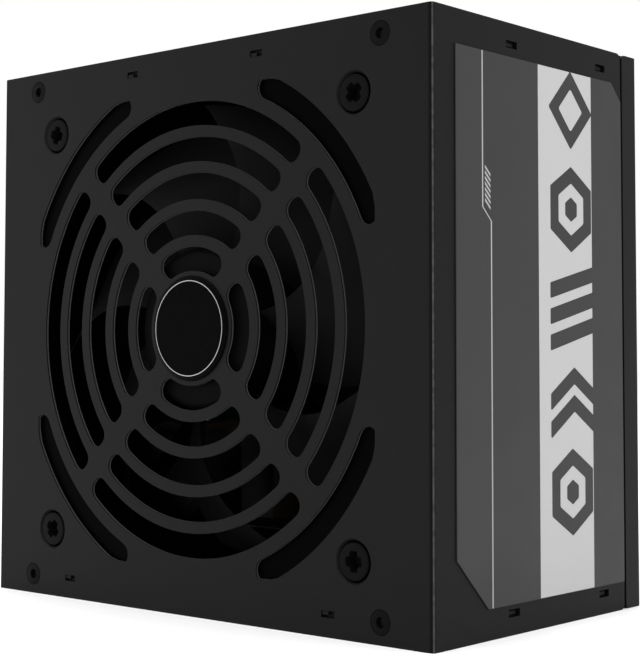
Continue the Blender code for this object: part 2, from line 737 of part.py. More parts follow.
def build_switch():
    top = CASE_HEIGHT + CLEARANCE
    flange = rounded_rectangle((SWITCH_X, SWITCH_Y), SWITCH_FLANGE, 0.0015)
    housing = plate("switch_housing", [flange], (top, top + 0.0016), "black_plastic")
    body = rounded_rectangle((SWITCH_X, SWITCH_Y), SWITCH_BODY, 0.0006)
    combine(housing, plate("add_switch_body", [body], (CASE_HEIGHT - 0.0170, top + 0.0008)), "UNION")
    opening = rounded_rectangle((SWITCH_X, SWITCH_Y), SWITCH_OPENING, 0.0002, math.radians(90))
    floor = ROCKER_PIVOT_Z - 0.0058
    combine(housing, plate("cut_switch_well", [opening], (floor, top + 0.0040)), "DIFFERENCE")
    pivot = (SWITCH_X, SWITCH_Y, ROCKER_PIVOT_Z)
    combine(housing, rods("cut_pivot_seats", [pivot], 0.0013, 0.0134, axis="X", sides=12), "DIFFERENCE")

    half_width = SWITCH_OPENING[0] / 2 - CLEARANCE
    rocker = plate("switch_rocker", [rocker_outline()], (-half_width, half_width), "black_plastic", axis="X")
    stubs = rods("add_pivot_stubs", [(0, 0, 0)], 0.0010, 0.0126, axis="X", sides=12)
    combine(rocker, stubs, "UNION")
    pivot_empty = bpy.data.objects.new("rocker_axis", None)
    pivot_empty.location = pivot
    pivot_empty.rotation_euler = (-ROCKER_TILT, 0, 0)
    part.objects.link(pivot_empty)
    rocker.parent = pivot_empty
    stubs.parent = pivot_empty


def build_grommet():
    """Snap-in bushing round the cable outlet, with its lip on the inside."""
    start = CLEARANCE
    tube = rounded_rectangle(GROMMET_CENTRE, GROMMET_SIZE, GROMMET_SIZE[1] / 2 - 0.0003)
    grommet = plate("cable_grommet", [tube], (start, 0.0045), "black_plastic")
    lip_size = (GROMMET_SIZE[0] + 0.003, GROMMET_SIZE[1] + 0.003)
    lip = rounded_rectangle(GROMMET_CENTRE, lip_size, lip_size[1] / 2 - 0.0003)
    combine(grommet, plate("add_grommet_lip", [lip], (SHEET + CLEARANCE, 0.0026)), "UNION")
    hole_size = (GROMMET_SIZE[0] - 2 * GROMMET_WALL, GROMMET_SIZE[1] - 2 * GROMMET_WALL)
    hole = rounded_rectangle(GROMMET_CENTRE, hole_size, hole_size[1] / 2 - 0.0003)
    combine(grommet, plate("cut_grommet", [hole], (-0.001, 0.006)), "DIFFERENCE")


def build_board():
    """Circuit board on four standoffs, over an insulating sheet."""
    centre = (0, BOARD_CENTRE_Z)
    board_back = BOARD_FRONT + BOARD_THICKNESS
    board = [rounded_rectangle(centre, BOARD_SIZE, 0.001, math.radians(90))]
    board += [circle(hole, 0.0018, 12) for hole in BOARD_HOLES]
    plate("main_board", board, (BOARD_FRONT, board_back), "board", axis="Y")
    sheet_size = (BOARD_SIZE[0] + 0.002, BOARD_SIZE[1] + 0.002)
    sheet = [rounded_rectangle(centre, sheet_size, 0.001, math.radians(90))]
    sheet += [circle(hole, 0.0038, 12) for hole in BOARD_HOLES]
    plate("insulator_sheet", sheet, (board_back + 0.0030, board_back + 0.0034), "insulator", axis="Y")

    low, high = -(BACK - SHEET - CLEARANCE), -(board_back + CLEARANCE)
    floor = low + 0.0010
    post = [(0, floor), (0.0016, floor), (0.0016, high), (0.0030, high), (0.0030, low), (0, low)]
    head = -(BOARD_FRONT - CLEARANCE)
    screw = [(0, head + 0.0020), (0.0026, head + 0.0020), (0.0028, head), (0.0012, head)]
    screw += [(0.0012, low + 0.0018), (0, low + 0.0018)]
    for number, (x, z) in enumerate(BOARD_HOLES, 1):
        turned(f"board_standoff_{number}", post, "brass", (x, 0, z), steps=8)
        turned(f"board_screw_{number}", screw, "bare_steel", (x, 0, z), steps=8)


def standing(name, x, z, size, finish, bevel=0.0):
    """Box standing on the board: size is along X, up from the board, and along Z."""
    low = (x - size[0] / 2, SEAT_Y - size[1], z - size[2] / 2)
    high = (x + size[0] / 2, SEAT_Y, z + size[2] / 2)
    return boxes(name, [(low, high)], finish, bevel)


def can(name, x, z, radius, height, finish, steps=14):
    """Capacitor can standing on the board, with a rolled shoulder at both ends."""
    foot, top = -SEAT_Y, height - SEAT_Y
    shoulder = radius * 0.1
    profile = [(0, top), (radius - shoulder, top), (radius, top - shoulder)]
    profile += [(radius, foot + shoulder), (radius - shoulder, foot), (0, foot)]
    return turned(name, profile, finish, (x, 0, z), steps=steps)


def toroid(name, place, major, minor, finish, rotation=(0, 0, 0)):
    bpy.ops.mesh.primitive_torus_add(
        major_radius=major,
        minor_radius=minor,
        major_segments=16,
        minor_segments=6,
        location=place,
        rotation=rotation,
    )
    ring = bpy.context.object
    ring.name = name
    ring.data.materials.append(make_finish(finish))
    for owner in ring.users_collection:
        owner.objects.unlink(ring)
    part.objects.link(ring)
    ring.data.shade_smooth()


def comb_outline(x_plate, thickness, reach, height, fins):
    """Finned heatsink seen along its length: a plate with fins, as (x, y)."""
    base, tip = sorted((x_plate, x_plate + thickness))
    direction = 1 if reach > 0 else -1
    root = tip if direction > 0 else base
    flat = base if direction > 0 else tip
    points = [(flat, SEAT_Y), (flat, SEAT_Y - height)]
    pitch = height / (2 * fins - 1)
    for fin in range(fins):
        start = SEAT_Y - height + 2 * fin * pitch
        points += [(root + reach, start), (root + reach, start + pitch)]
        if fin < fins - 1:
            points += [(root, start + pitch), (root, start + 2 * pitch)]
    return points


def build_components():
    """What stands on the board, from the mains filter through to the output side."""
    sideways = (0, math.pi / 2, 0)
    flat = (math.pi / 2, 0, 0)
    toroid("emi_choke", (-0.048, SEAT_Y - 0.0126, 0.098), 0.0085, 0.0040, "core_yellow", sideways)
    standing("x_capacitor", -0.028, 0.107, (0.018, 0.015, 0.009), "core_yellow", 0.0008)
    rods("fuse", [(-0.059, SEAT_Y - 0.0036, 0.100)], 0.0026, 0.020, "insulator", axis="Z", sides=12)
    rods("thermistor", [(-0.029, SEAT_Y - 0.0075, 0.092)], 0.0065, 0.0040, "ferrite", axis="Z", sides=14)
    standing("bridge_rectifier", -0.006, 0.108, (0.022, 0.018, 0.0045), "black_plastic", 0.0005)
    toroid("pfc_choke", (-0.044, SEAT_Y - 0.0067, 0.066), 0.0130, 0.0065, "winding", flat)
    can("bulk_capacitor", -0.044, 0.030, 0.015, 0.045, "capacitor", steps=24)
    primary = comb_outline(-0.012, 0.003, -0.009, 0.038, 5)
    plate("primary_heatsink", [primary], (0.020, 0.090), "aluminium")
    standing("primary_transistor", -0.0063, 0.070, (0.0048, 0.021, 0.016), "black_plastic", 0.0004)

    core = standing("main_transformer", 0.013, 0.062, (0.030, 0.036, 0.012), "ferrite", 0.0004)
    low = (0.0035, SEAT_Y - 0.0300, 0.0480)
    high = (0.0225, SEAT_Y - 0.0060, 0.0760)
    combine(core, boxes("add_winding", [(low, high)]), "UNION")
    standing("standby_transformer", 0.013, 0.024, (0.019, 0.020, 0.018), "core_yellow", 0.0010)
    standing("control_board", 0.022, 0.108, (0.030, 0.020, 0.0012), "board")

    secondary = comb_outline(0.0345, 0.003, 0.007, 0.034, 5)
    plate("secondary_heatsink", [secondary], (0.034, 0.100), "aluminium")
    standing("output_rectifier", 0.0317, 0.062, (0.0046, 0.021, 0.016), "black_plastic", 0.0004)
    toroid("output_choke", (0.0555, SEAT_Y - 0.0042, 0.088), 0.0066, 0.0035, "winding", flat)
    for number, z in enumerate((0.036, 0.051, 0.066), 1):
        can(f"output_capacitor_{number}", 0.055, z, 0.005, 0.020, "capacitor")


for leftover in list(bpy.data.objects):
    bpy.data.objects.remove(leftover)
part = make_collection("power_supply_unit")
cutters = make_collection("cutters")

build_fan_cover()
build_base_shell()
build_screws()
build_badge()
build_labels()
build_fan_frame()
build_rotor()
build_motor()
build_inlet()
build_switch()
build_grommet()
build_board()
build_components()
bpy.context.view_layer.update()
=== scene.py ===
"""Looks of a desktop power supply unit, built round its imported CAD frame.

Everything is in metres in the frame's own axes: X is the width of the fan face, -Y is the way
the fan face looks, and +Z points from the cable end to the mains end.
"""

import math

import bmesh
import bpy
from mathutils import Matrix, Vector


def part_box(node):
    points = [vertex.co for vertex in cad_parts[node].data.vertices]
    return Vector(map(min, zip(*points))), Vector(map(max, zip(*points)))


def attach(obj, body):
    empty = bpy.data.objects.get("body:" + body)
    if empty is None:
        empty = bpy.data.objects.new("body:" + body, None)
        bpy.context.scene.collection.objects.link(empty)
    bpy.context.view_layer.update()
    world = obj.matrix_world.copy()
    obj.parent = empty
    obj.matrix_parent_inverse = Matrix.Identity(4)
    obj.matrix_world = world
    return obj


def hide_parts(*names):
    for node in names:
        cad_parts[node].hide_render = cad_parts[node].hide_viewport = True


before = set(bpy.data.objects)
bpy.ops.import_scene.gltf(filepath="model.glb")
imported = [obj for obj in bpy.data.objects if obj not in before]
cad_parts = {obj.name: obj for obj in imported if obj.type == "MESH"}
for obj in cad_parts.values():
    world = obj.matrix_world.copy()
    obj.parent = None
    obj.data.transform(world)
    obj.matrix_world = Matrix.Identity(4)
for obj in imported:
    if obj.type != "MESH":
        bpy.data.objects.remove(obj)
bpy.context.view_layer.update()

# The case: its box is read from the frame, and the sheet's own sizes follow.
COVER_LOW, COVER_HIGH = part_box("fan_cover")
HALF_WIDTH = COVER_HIGH.x
FRONT = COVER_LOW.y
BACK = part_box("base_shell")[1].y
HEIGHT = COVER_HIGH.z
COVER_BACK = COVER_HIGH.y
SHEET = 0.0008
BEND = 0.0009
INSIDE_X = HALF_WIDTH - SHEET
LIP_GAP = 0.0009
LIP_TOP = COVER_BACK + LIP_GAP
END_FLANGE = 0.0094
CLEARANCE = 0.0003
EDGE_SOFTNESS = 0.00012

# Grille in the fan face.
HUB_Z = HEIGHT / 2
GRILLE_INNER = 0.0141
GRILLE_BAR = 0.00285
GRILLE_SLOTS = (0.0060, 0.0060, 0.0065, 0.0060, 0.0060)
SPOKE_WIDTH = 0.00515
SLOT_CORNER = 0.00275
CORNER_ARC = (0.0594, 0.0652)
CORNER_ARC_REACH = math.radians(21)
GRILLE_LIMIT = 0.0588

# Screws and notches.
FAN_SCREW_PITCH = 0.105
CASE_SCREW_X = 0.0603
CASE_SCREW_INSET = 0.0050
FRONT_NOTCHES = ((0.022, HEIGHT - 0.0047), (0.045, 0.0052))
FRONT_NOTCH_SIZE = (0.0040, 0.0016)
SIDE_NOTCHES_Y = (-0.0130, 0.0255)
SIDE_NOTCH_INSET = 0.0050
SIDE_NOTCH_SIZE = (0.0044, 0.00175)
SIDE_HOOK = (0.0014, 0.0004)
FAN_SINK = (0.00515, 0.0046)
CASE_SINK = (0.00292, 0.0026)
COVER_TRIM = 0.0015
LIP_TRIM = 0.0012

# Printing on the labels.
PRINT_DEPTH = 0.00004
PRINT_INSET = 0.0001
LABEL_LOW_CUT = 0.0117
LABEL_HIGH_CUT = 0.0045
STRIPE = (-0.00275, 0.0205)
STRIPE_MOTIF_LEFT = 0.0020
LINE_Y = -0.0253
LINE_STEP = 0.0033
LINE_WIDTH = 0.00042
LINE_JOG = (0.0966, 0.0935)
TABLE_CELLS = (6, 4)
TABLE_LINE = 0.0004

# Mains end.
VENT_PITCH = 0.0084
VENT_RADIUS = 0.0040
VENT_CORNER = 0.0005
VENT_LIMIT = 0.0655
VENT_MARGIN = 0.005
HOLE_MARGIN = 0.0082
MOUNT_HOLES = ((-0.069, -0.027), (-0.069, 0.037), (0.045, 0.037), (0.069, -0.037))
MOUNT_HOLE_RADIUS = 0.0018
ROCKER_RADIUS = 0.0082
ROCKER_DIP = 0.0009
ROCKER_END = math.radians(16)
ROCKER_TILT = math.radians(10)
ROCKER_PIVOT_Z = HEIGHT + 0.0006
MARK_OUT = 0.0042
PIN_TIP = 0.0022
INLET_BODY = (0.0270, 0.0196)
SWITCH_BODY = (0.0130, 0.0192)
SWITCH_WELL = (0.0108, 0.0170)

# Fan.
DUCT_RADIUS = 0.0575
BLADE_COUNT = 7
BLADE_REACH = (0.0192, 0.0556)
BLADE_MIDDLE = 0.035
BLADE_START = math.radians(68)
BLADE_SWEEP = (12.4, 360.0)
BLADE_CHORD_DEGREES = (42, 3)
BLADE_TOP = 0.0392
BLADE_DROP = 0.0166
BLADE_GRID = (16, 14)
BLADE_LEAN = (0.55, 0.83)
HUB_RADIUS = 0.0200
STRUT_MIDDLE = 0.0392
STRUT_SIZE = (0.0390, 0.0038)

# Steps between the points of curves.
ARC_STEP = math.radians(3)
CORNER_STEP = math.radians(15)
COARSE_STEP = math.radians(30)

QUARTER = math.pi / 2
FACING = {"X": (QUARTER, 0, QUARTER), "Y": (QUARTER, 0, 0), "Z": (0, 0, 0)}


# ---------------- outlines


def polar(radius, angle):
    return (radius * math.cos(angle), radius * math.sin(angle))


def arc(centre, radius, start, end, step=ARC_STEP):
    """Points along an arc, both ends included."""
    count = max(1, math.ceil(abs(end - start) / step - 1e-6))
    spots = (polar(radius, start + (end - start) * i / count) for i in range(count + 1))
    return [(centre[0] + x, centre[1] + y) for x, y in spots]


def circle(centre, radius, sides=48):
    return arc(centre, radius, 0, 2 * math.pi * (1 - 1 / sides), 2 * math.pi / sides)


def rectangle(low, high):
    return [low, (high[0], low[1]), high, (low[0], high[1])]


def rounded_rectangle(centre, size, corner, step=CORNER_STEP):
    half_x = size[0] / 2 - corner
    half_y = size[1] / 2 - corner
    points = []
    for turn, (sx, sy) in enumerate(((1, 1), (-1, 1), (-1, -1), (1, -1))):
        middle = (centre[0] + sx * half_x, centre[1] + sy * half_y)
        points += arc(middle, corner, turn * QUARTER, (turn + 1) * QUARTER, step)
    return points


def rotate(outline, angle):
    cos, sin = math.cos(angle), math.sin(angle)
    return [(x * cos - y * sin, x * sin + y * cos) for x, y in outline]


def quarters(outline):
    """The outline four times, a quarter turn apart."""
    return [rotate(outline, turn * QUARTER) for turn in range(4)]


def move(outline, x, y):
    return [(px + x, py + y) for px, py in outline]


def rounded(points, radius, step=CORNER_STEP):
    """Polygon with every corner rounded to the same radius."""
    result = []
    count = len(points)
    for index in range(count):
        here = Vector(points[index])
        before = (Vector(points[index - 1]) - here).normalized()
        after = (Vector(points[(index + 1) % count]) - here).normalized()
        half = before.angle(after) / 2
        if QUARTER - half < 1e-3:
            result.append(tuple(here))
            continue
        reach = radius / math.tan(half)
        centre = here + (before + after).normalized() * (radius / math.sin(half))
        start = here + before * reach - centre
        end = here + after * reach - centre
        turn = math.atan2(start.x * end.y - start.y * end.x, start.dot(end))
        angle = math.atan2(start.y, start.x)
        result += arc(centre, radius, angle, angle + turn, step)
    return result


def polygon(centre, radius, sides, first=0.0, corner=0.0006):
    """Regular polygon with slightly rounded corners."""
    spots = [polar(radius, first + 2 * math.pi * k / sides) for k in range(sides)]
    return move(rounded(spots, corner), *centre)


def grille_slot(inner, outer):
    """Slot facing +X: two arcs, and ends that run along the diagonal spokes."""
    spoke = math.pi / 4
    offset = SPOKE_WIDTH / 2 + SLOT_CORNER

    def corner_angle(radius):
        return spoke - math.asin(offset / radius)

    out_radius, in_radius = outer - SLOT_CORNER, inner + SLOT_CORNER
    out_angle, in_angle = corner_angle(out_radius), corner_angle(in_radius)
    across = spoke + QUARTER
    upper = arc(polar(out_radius, out_angle), SLOT_CORNER, out_angle, across, CORNER_STEP)
    upper += arc(polar(in_radius, in_angle), SLOT_CORNER, across, in_angle + math.pi, CORNER_STEP)
    lower = [(x, -y) for x, y in reversed(upper)]
    outside = arc((0, 0), outer, -out_angle, out_angle)[1:-1]
    inside = arc((0, 0), inner, in_angle, -in_angle)[1:-1]
    return upper + inside + lower + outside


def corner_slot():
    """Arc slot on the diagonal, with round ends, kept inside the fan's square."""
    inner, outer = CORNER_ARC
    end, middle = (outer - inner) / 2, (outer + inner) / 2
    reach, step = CORNER_ARC_REACH, math.radians(12)
    points = arc((0, 0), outer, -reach, reach)
    points += arc(polar(middle, reach), end, reach, reach + math.pi, step)[1:-1]
    points += arc((0, 0), inner, reach, -reach)
    points += arc(polar(middle, -reach), end, math.pi - reach, 2 * math.pi - reach, step)[1:-1]
    diagonal = rotate(points, math.pi / 4)
    return [(min(x, GRILLE_LIMIT), min(y, GRILLE_LIMIT)) for x, y in diagonal]


def four_corners(x, z_low, z_high):
    return ((-x, z_low), (x, z_low), (x, z_high), (-x, z_high))


FAN_SCREWS = four_corners(
    FAN_SCREW_PITCH / 2, HUB_Z - FAN_SCREW_PITCH / 2, HUB_Z + FAN_SCREW_PITCH / 2
)
CASE_SCREWS = four_corners(CASE_SCREW_X, CASE_SCREW_INSET, HEIGHT - CASE_SCREW_INSET)


def front_notches():
    return [(side * x, z) for x, z in FRONT_NOTCHES for side in (-1, 1)]


def side_notches():
    heights = (SIDE_NOTCH_INSET, HEIGHT - SIDE_NOTCH_INSET)
    return [(y, z) for y in SIDE_NOTCHES_Y for z in heights]


# ---------------- mesh tools


def box_of(node):
    """Centre and size of a CAD node's box, as plain numbers."""
    pairs = list(zip(*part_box(node)))
    return [(low + high) / 2 for low, high in pairs], [high - low for low, high in pairs]


def lay(piece, location=(0, 0, 0), rotation=(0, 0, 0)):
    """Turn and move a piece, and put its place into its mesh."""
    piece.location = location
    piece.rotation_euler = rotation
    piece.data.transform(piece.matrix_basis)
    piece.matrix_basis = Matrix.Identity(4)
    return piece


def add_object(name, mesh, location=(0, 0, 0), rotation=(0, 0, 0)):
    piece = bpy.data.objects.new(name, mesh)
    bpy.context.scene.collection.objects.link(piece)
    return lay(piece, location, rotation)


def add_bmesh(name, bm, location=(0, 0, 0), rotation=(0, 0, 0)):
    mesh = bpy.data.meshes.new(name)
    bm.to_mesh(mesh)
    bm.free()
    return add_object(name, mesh, location, rotation)


def signed_area(outline):
    pairs = zip(outline, outline[1:] + outline[:1])
    return sum(ax * by - bx * ay for (ax, ay), (bx, by) in pairs) / 2


def plate(name, outlines, span, axis="Z", holes=(), bevel=0.0, resolution=1):
    """Flat outlines filled, with holes cut out, and extruded along an axis.

    Outlines are (x, y) for the Z axis, (x, z) for the Y axis and (y, z) for the X axis.
    """
    curve = bpy.data.curves.new(name, "CURVE")
    curve.dimensions = "2D"
    curve.fill_mode = "BOTH"
    curve.extrude = (span[1] - span[0]) / 2 - bevel
    curve.bevel_depth = bevel
    curve.bevel_resolution = resolution
    curve.offset = -bevel
    for group, sign in ((outlines, 1), (holes, -1)):
        for outline in group:
            if signed_area(outline) * sign < 0:
                outline = outline[::-1]
            spline = curve.splines.new("POLY")
            spline.points.add(len(outline) - 1)
            spline.use_cyclic_u = True
            for point, spot in zip(spline.points, outline):
                point.co = (*spot, 0, 1)
    drawing = bpy.data.objects.new(name, curve)
    bpy.context.scene.collection.objects.link(drawing)
    seen = drawing.evaluated_get(bpy.context.evaluated_depsgraph_get())
    mesh = bpy.data.meshes.new_from_object(seen)
    bpy.data.objects.remove(drawing)
    bm = bmesh.new()
    bm.from_mesh(mesh)
    bmesh.ops.remove_doubles(bm, verts=bm.verts, dist=2e-7)
    bmesh.ops.dissolve_degenerate(bm, edges=bm.edges, dist=1e-7)
    bmesh.ops.recalc_face_normals(bm, faces=bm.faces)
    bm.to_mesh(mesh)
    bm.free()
    location = Vector((0, 0, 0))
    location["XYZ".index(axis)] = (span[0] + span[1]) / 2
    return add_object(name, mesh, location, FACING[axis])


def boxes(name, spans):
    """One mesh made of boxes, each given by its lowest and highest corner."""
    bm = bmesh.new()
    for low, high in spans:
        low, high = Vector(low), Vector(high)
        matrix = Matrix.Translation((low + high) / 2) @ Matrix.Diagonal((*(high - low), 1))
        bmesh.ops.create_cube(bm, size=1, matrix=matrix)
    return add_bmesh(name, bm)


def turned(name, profile, location=(0, 0, 0), axis="Y", steps=64, closed=False):
    """Profile of (radius, height) turned about an axis; on Y, height counts towards -Y."""
    bm = bmesh.new()
    rings = []
    for radius, height in profile:
        if radius < 1e-7:
            rings.append([bm.verts.new((0, 0, height))])
            continue
        spots = (polar(radius, 2 * math.pi * i / steps) for i in range(steps))
        rings.append([bm.verts.new((x, y, height)) for x, y in spots])
    pairs = list(zip(rings, rings[1:]))
    if closed:
        pairs.append((rings[-1], rings[0]))
    for upper, lower in pairs:
        for i in range(steps):
            j = (i + 1) % steps
            corners = [upper[i % len(upper)], lower[i % len(lower)]]
            corners += [lower[j % len(lower)], upper[j % len(upper)]]
            unique = list(dict.fromkeys(corners))
            if len(unique) > 2:
                bm.faces.new(unique)
    bmesh.ops.recalc_face_normals(bm, faces=bm.faces)
    return add_bmesh(name, bm, location, FACING[axis])


def apply_modifiers(piece):
    seen = piece.evaluated_get(bpy.context.evaluated_depsgraph_get())
    mesh = bpy.data.meshes.new_from_object(seen)
    piece.modifiers.clear()
    piece.data = mesh


def combine(piece, other, operation="DIFFERENCE"):
    """Cut another object out of a piece, or join it on, and remove it."""
    step = piece.modifiers.new("Cut", "BOOLEAN")
    step.operation = operation
    step.solver = "EXACT"
    step.object = other
    bpy.context.view_layer.update()
    apply_modifiers(piece)
    bpy.data.objects.remove(other)
    return piece


def shade(piece, sharp=50):
    """Smooth shading whose flat faces stay flat."""
    old_normals = piece.data.attributes.get("custom_normal")
    if old_normals:
        piece.data.attributes.remove(old_normals)
    piece.data.shade_smooth()
    piece.data.set_sharp_from_angle(angle=math.radians(sharp))
    weighted = piece.modifiers.new("Normals", "WEIGHTED_NORMAL")
    weighted.keep_sharp = True
    return piece


def soften(piece, width=EDGE_SOFTNESS, segments=2, angle=35):
    """Small rounded edges, as on cut sheet or a moulding."""
    bm = bmesh.new()
    bm.from_mesh(piece.data)
    bmesh.ops.remove_doubles(bm, verts=bm.verts, dist=1e-6)
    bmesh.ops.dissolve_degenerate(bm, edges=bm.edges, dist=1e-6)
    bm.to_mesh(piece.data)
    bm.free()
    bevel = piece.modifiers.new("Edges", "BEVEL")
    bevel.width = width
    bevel.segments = segments
    bevel.limit_method = "ANGLE"
    bevel.angle_limit = math.radians(angle)
    apply_modifiers(piece)
    return shade(piece)


def join(name, pieces):
    """Several meshes as one object."""
    bm = bmesh.new()
    for piece in pieces:
        apply_modifiers(piece)
        bm.from_mesh(piece.data)
        bpy.data.objects.remove(piece)
    return add_bmesh(name, bm)


def place(piece, material, slot, *nodes, body="case"):
    """Give a piece its material and body, and hide the CAD nodes that it stands for."""
    piece.data.materials.clear()
    piece.data.materials.append(material)
    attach(piece, body)
    if nodes:
        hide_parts(*nodes)
    return piece


# ---------------- materials


def add_node(material, kind, inputs, **settings):
    """Add a shader node; each input gets a value or is linked to another node's output."""
    tree = material.node_tree
    node = tree.nodes.new("ShaderNode" + kind)
    for name, value in settings.items():
        setattr(node, name, value)
    for key, value in inputs.items():
        if isinstance(value, bpy.types.NodeSocket):
            tree.links.new(value, node.inputs[key])
        else:
            node.inputs[key].default_value = value
    return node


def map_range(material, value, low, high, start=0.0, end=1.0):
    """Output that goes from start to end as the value goes from low to high."""
    ends = {"Value": value, "From Min": low, "From Max": high, "To Min": start, "To Max": end}
    return add_node(material, "MapRange", ends).outputs["Result"]


def finish(
    name,
    colour,
    roughness,
    metallic=0.0,
    grain=900,
    mottle=0.10,
    bump=0.05,
    rough_spread=0.06,
    specular=0.5,
    stretch=(1, 1, 1),
):
    """Procedural finish: fine grain in the surface, and slow changes in colour and gloss.

    The colour can be one number, for a grey. The bump is in millimetres.
    """
    if isinstance(colour, float):
        colour = (colour, colour, colour)
    material = bpy.data.materials.new(name)
    material.use_nodes = True
    tree = material.node_tree
    shader = tree.nodes["Principled BSDF"]
    shader.inputs["Metallic"].default_value = metallic
    shader.inputs["Specular IOR Level"].default_value = specular

    place_in = add_node(material, "TexCoord", {}).outputs["Object"]
    spot = add_node(material, "Mapping", {"Vector": place_in, "Scale": stretch}).outputs[0]
    fine, broad = (
        add_node(material, "TexNoise", {"Vector": spot, "Scale": scale, "Detail": detail})
        for scale, detail in ((grain, 3.0), (grain / 22, 2.0))
    )
    fine, broad = fine.outputs["Fac"], broad.outputs["Fac"]
    half = add_node(material, "Math", {0: broad, 1: 0.4}, operation="MULTIPLY").outputs[0]
    blend = add_node(material, "Math", {0: fine, 1: 0.6, 2: half}, operation="MULTIPLY_ADD")

    ramp = add_node(material, "ValToRGB", {"Fac": blend.outputs[0]})
    stops = ((0.30, 1 - mottle), (0.70, 1 + mottle))
    for element, (position, share) in zip(ramp.color_ramp.elements, stops):
        element.position = position
        element.color = (*(min(1.0, channel * share) for channel in colour), 1.0)
    smooth, rough = max(0.02, roughness - rough_spread), min(1.0, roughness + rough_spread)
    gloss = map_range(material, broad, 0.3, 0.7, smooth, rough)
    relief = add_node(material, "Bump", {"Strength": 1.0, "Distance": bump * 0.001, "Height": fine})
    tree.links.new(ramp.outputs["Color"], shader.inputs["Base Color"])
    tree.links.new(gloss, shader.inputs["Roughness"])
    tree.links.new(relief.outputs["Normal"], shader.inputs["Normal"])
    return material


PRINTED = {"grain": 1500, "mottle": 0.03, "bump": 0.004, "specular": 0.15}
INKED = {"grain": 1500, "mottle": 0.02, "bump": 0.003, "specular": 0.15}
METAL = {"metallic": 1.0}
COAT = (0.0056, 0.0049, 0.0052)

POWDER = finish(
    "powder_coat", COAT, 0.50, grain=2600, mottle=0.22, bump=0.030, rough_spread=0.02, specular=0.08
)
SCREW_BLACK = finish("screw_black", 0.0028, 0.44, grain=1800, bump=0.010, specular=0.035)
BADGE_BLACK = finish("badge_black", 0.0034, 0.30, grain=700, bump=0.002, specular=0.0)
BADGE_RIM = finish("badge_rim", 0.0008, 0.35, bump=0.004, specular=0.02)
SILVER = finish("silver_ring", 0.36, 0.30, grain=1200, mottle=0.06, bump=0.004, **METAL)
FILM = finish("label_film", 0.0265, 0.42, **PRINTED)
FILM_BAND = finish("label_band", 0.0290, 0.42, **PRINTED)
INK_PALE = finish("label_pale_ink", 0.398, 0.45, **INKED)
INK_LINE = finish("label_line_ink", 0.32, 0.45, **INKED)
FAN_GLOSS = finish("fan_gloss", (0.0075, 0.0075, 0.0077), 0.42, grain=500, bump=0.006, specular=0.03)
FAN_HUB = finish("fan_hub_label", (0.0028, 0.0028, 0.0029), 0.45, bump=0.004, specular=0.012)
FAN_FRAME = finish("fan_frame_plastic", 0.0005, 0.45, grain=1200, bump=0.015, specular=0.01)
PLASTIC = finish("moulded_black", 0.013, 0.48, grain=2200, mottle=0.15, bump=0.035)
NICKEL = finish("nickel", (0.66, 0.64, 0.60), 0.22, bump=0.005, stretch=(1, 1, 0.1), **METAL)
ZINC = finish("zinc", (0.55, 0.55, 0.56), 0.32, grain=800, bump=0.008, **METAL)
BRASS = finish(
    "brass", (0.62, 0.46, 0.20), 0.28, grain=1500, bump=0.006, stretch=(1, 0.1, 1), **METAL
)
ALUMINIUM = finish(
    "aluminium", (0.22, 0.22, 0.23), 0.38, grain=1600, bump=0.02, stretch=(1, 1, 0.04), **METAL
)
BOARD = finish("solder_mask", (0.010, 0.070, 0.028), 0.34, grain=260, mottle=0.35, bump=0.030)
INSULATOR = finish("insulator_film", (0.62, 0.60, 0.54), 0.40, grain=300, mottle=0.05, bump=0.010)
COPPER = finish("enamelled_copper", (0.30, 0.10, 0.030), 0.26, metallic=0.75, mottle=0.2, bump=0.01)
YELLOW = finish("yellow_coating", (0.20, 0.125, 0.020), 0.42, grain=700, mottle=0.08, bump=0.010)
SLEEVE = finish("capacitor_sleeve", (0.012, 0.012, 0.014), 0.26, grain=400, bump=0.004)
CAN_TOP = finish("can_top", (0.13, 0.13, 0.14), 0.50, grain=700, bump=0.006, **METAL)
FERRITE = finish("ferrite", (0.055, 0.055, 0.060), 0.58, grain=2000, mottle=0.3, bump=0.03)
CERAMIC = finish("glazed_ceramic", (0.74, 0.70, 0.62), 0.22, grain=500, mottle=0.05, bump=0.004)
MAGNET = finish("bonded_magnet", (0.050, 0.047, 0.045), 0.60, grain=1800, mottle=0.25, bump=0.03)
MARK_WHITE = finish("switch_mark", (0.60, 0.60, 0.59), 0.50, grain=1500, mottle=0.03, bump=0.003)

# Painted light for the fan cover: a band of painted shade and then a painted highlight along each
# long bend, and a painted highlight on the grille's cut edges.
BEND_PAINTED_SHADE = (0.0005, 0.0004, 0.0004, 1)
BEND_PAINTED_HIGHLIGHT = (0.055, 0.053, 0.053, 1)
BEND_HIGHLIGHT_FADE = (0.0072, 0.0064, 0.0067, 1)
CUT_EDGE_HIGHLIGHT = (0.062, 0.058, 0.059, 1)
CUT_EDGE_DEPTH = 0.00034
CUT_EDGE_REACH = 0.068
CUT_EDGE_FADE = 0.00006


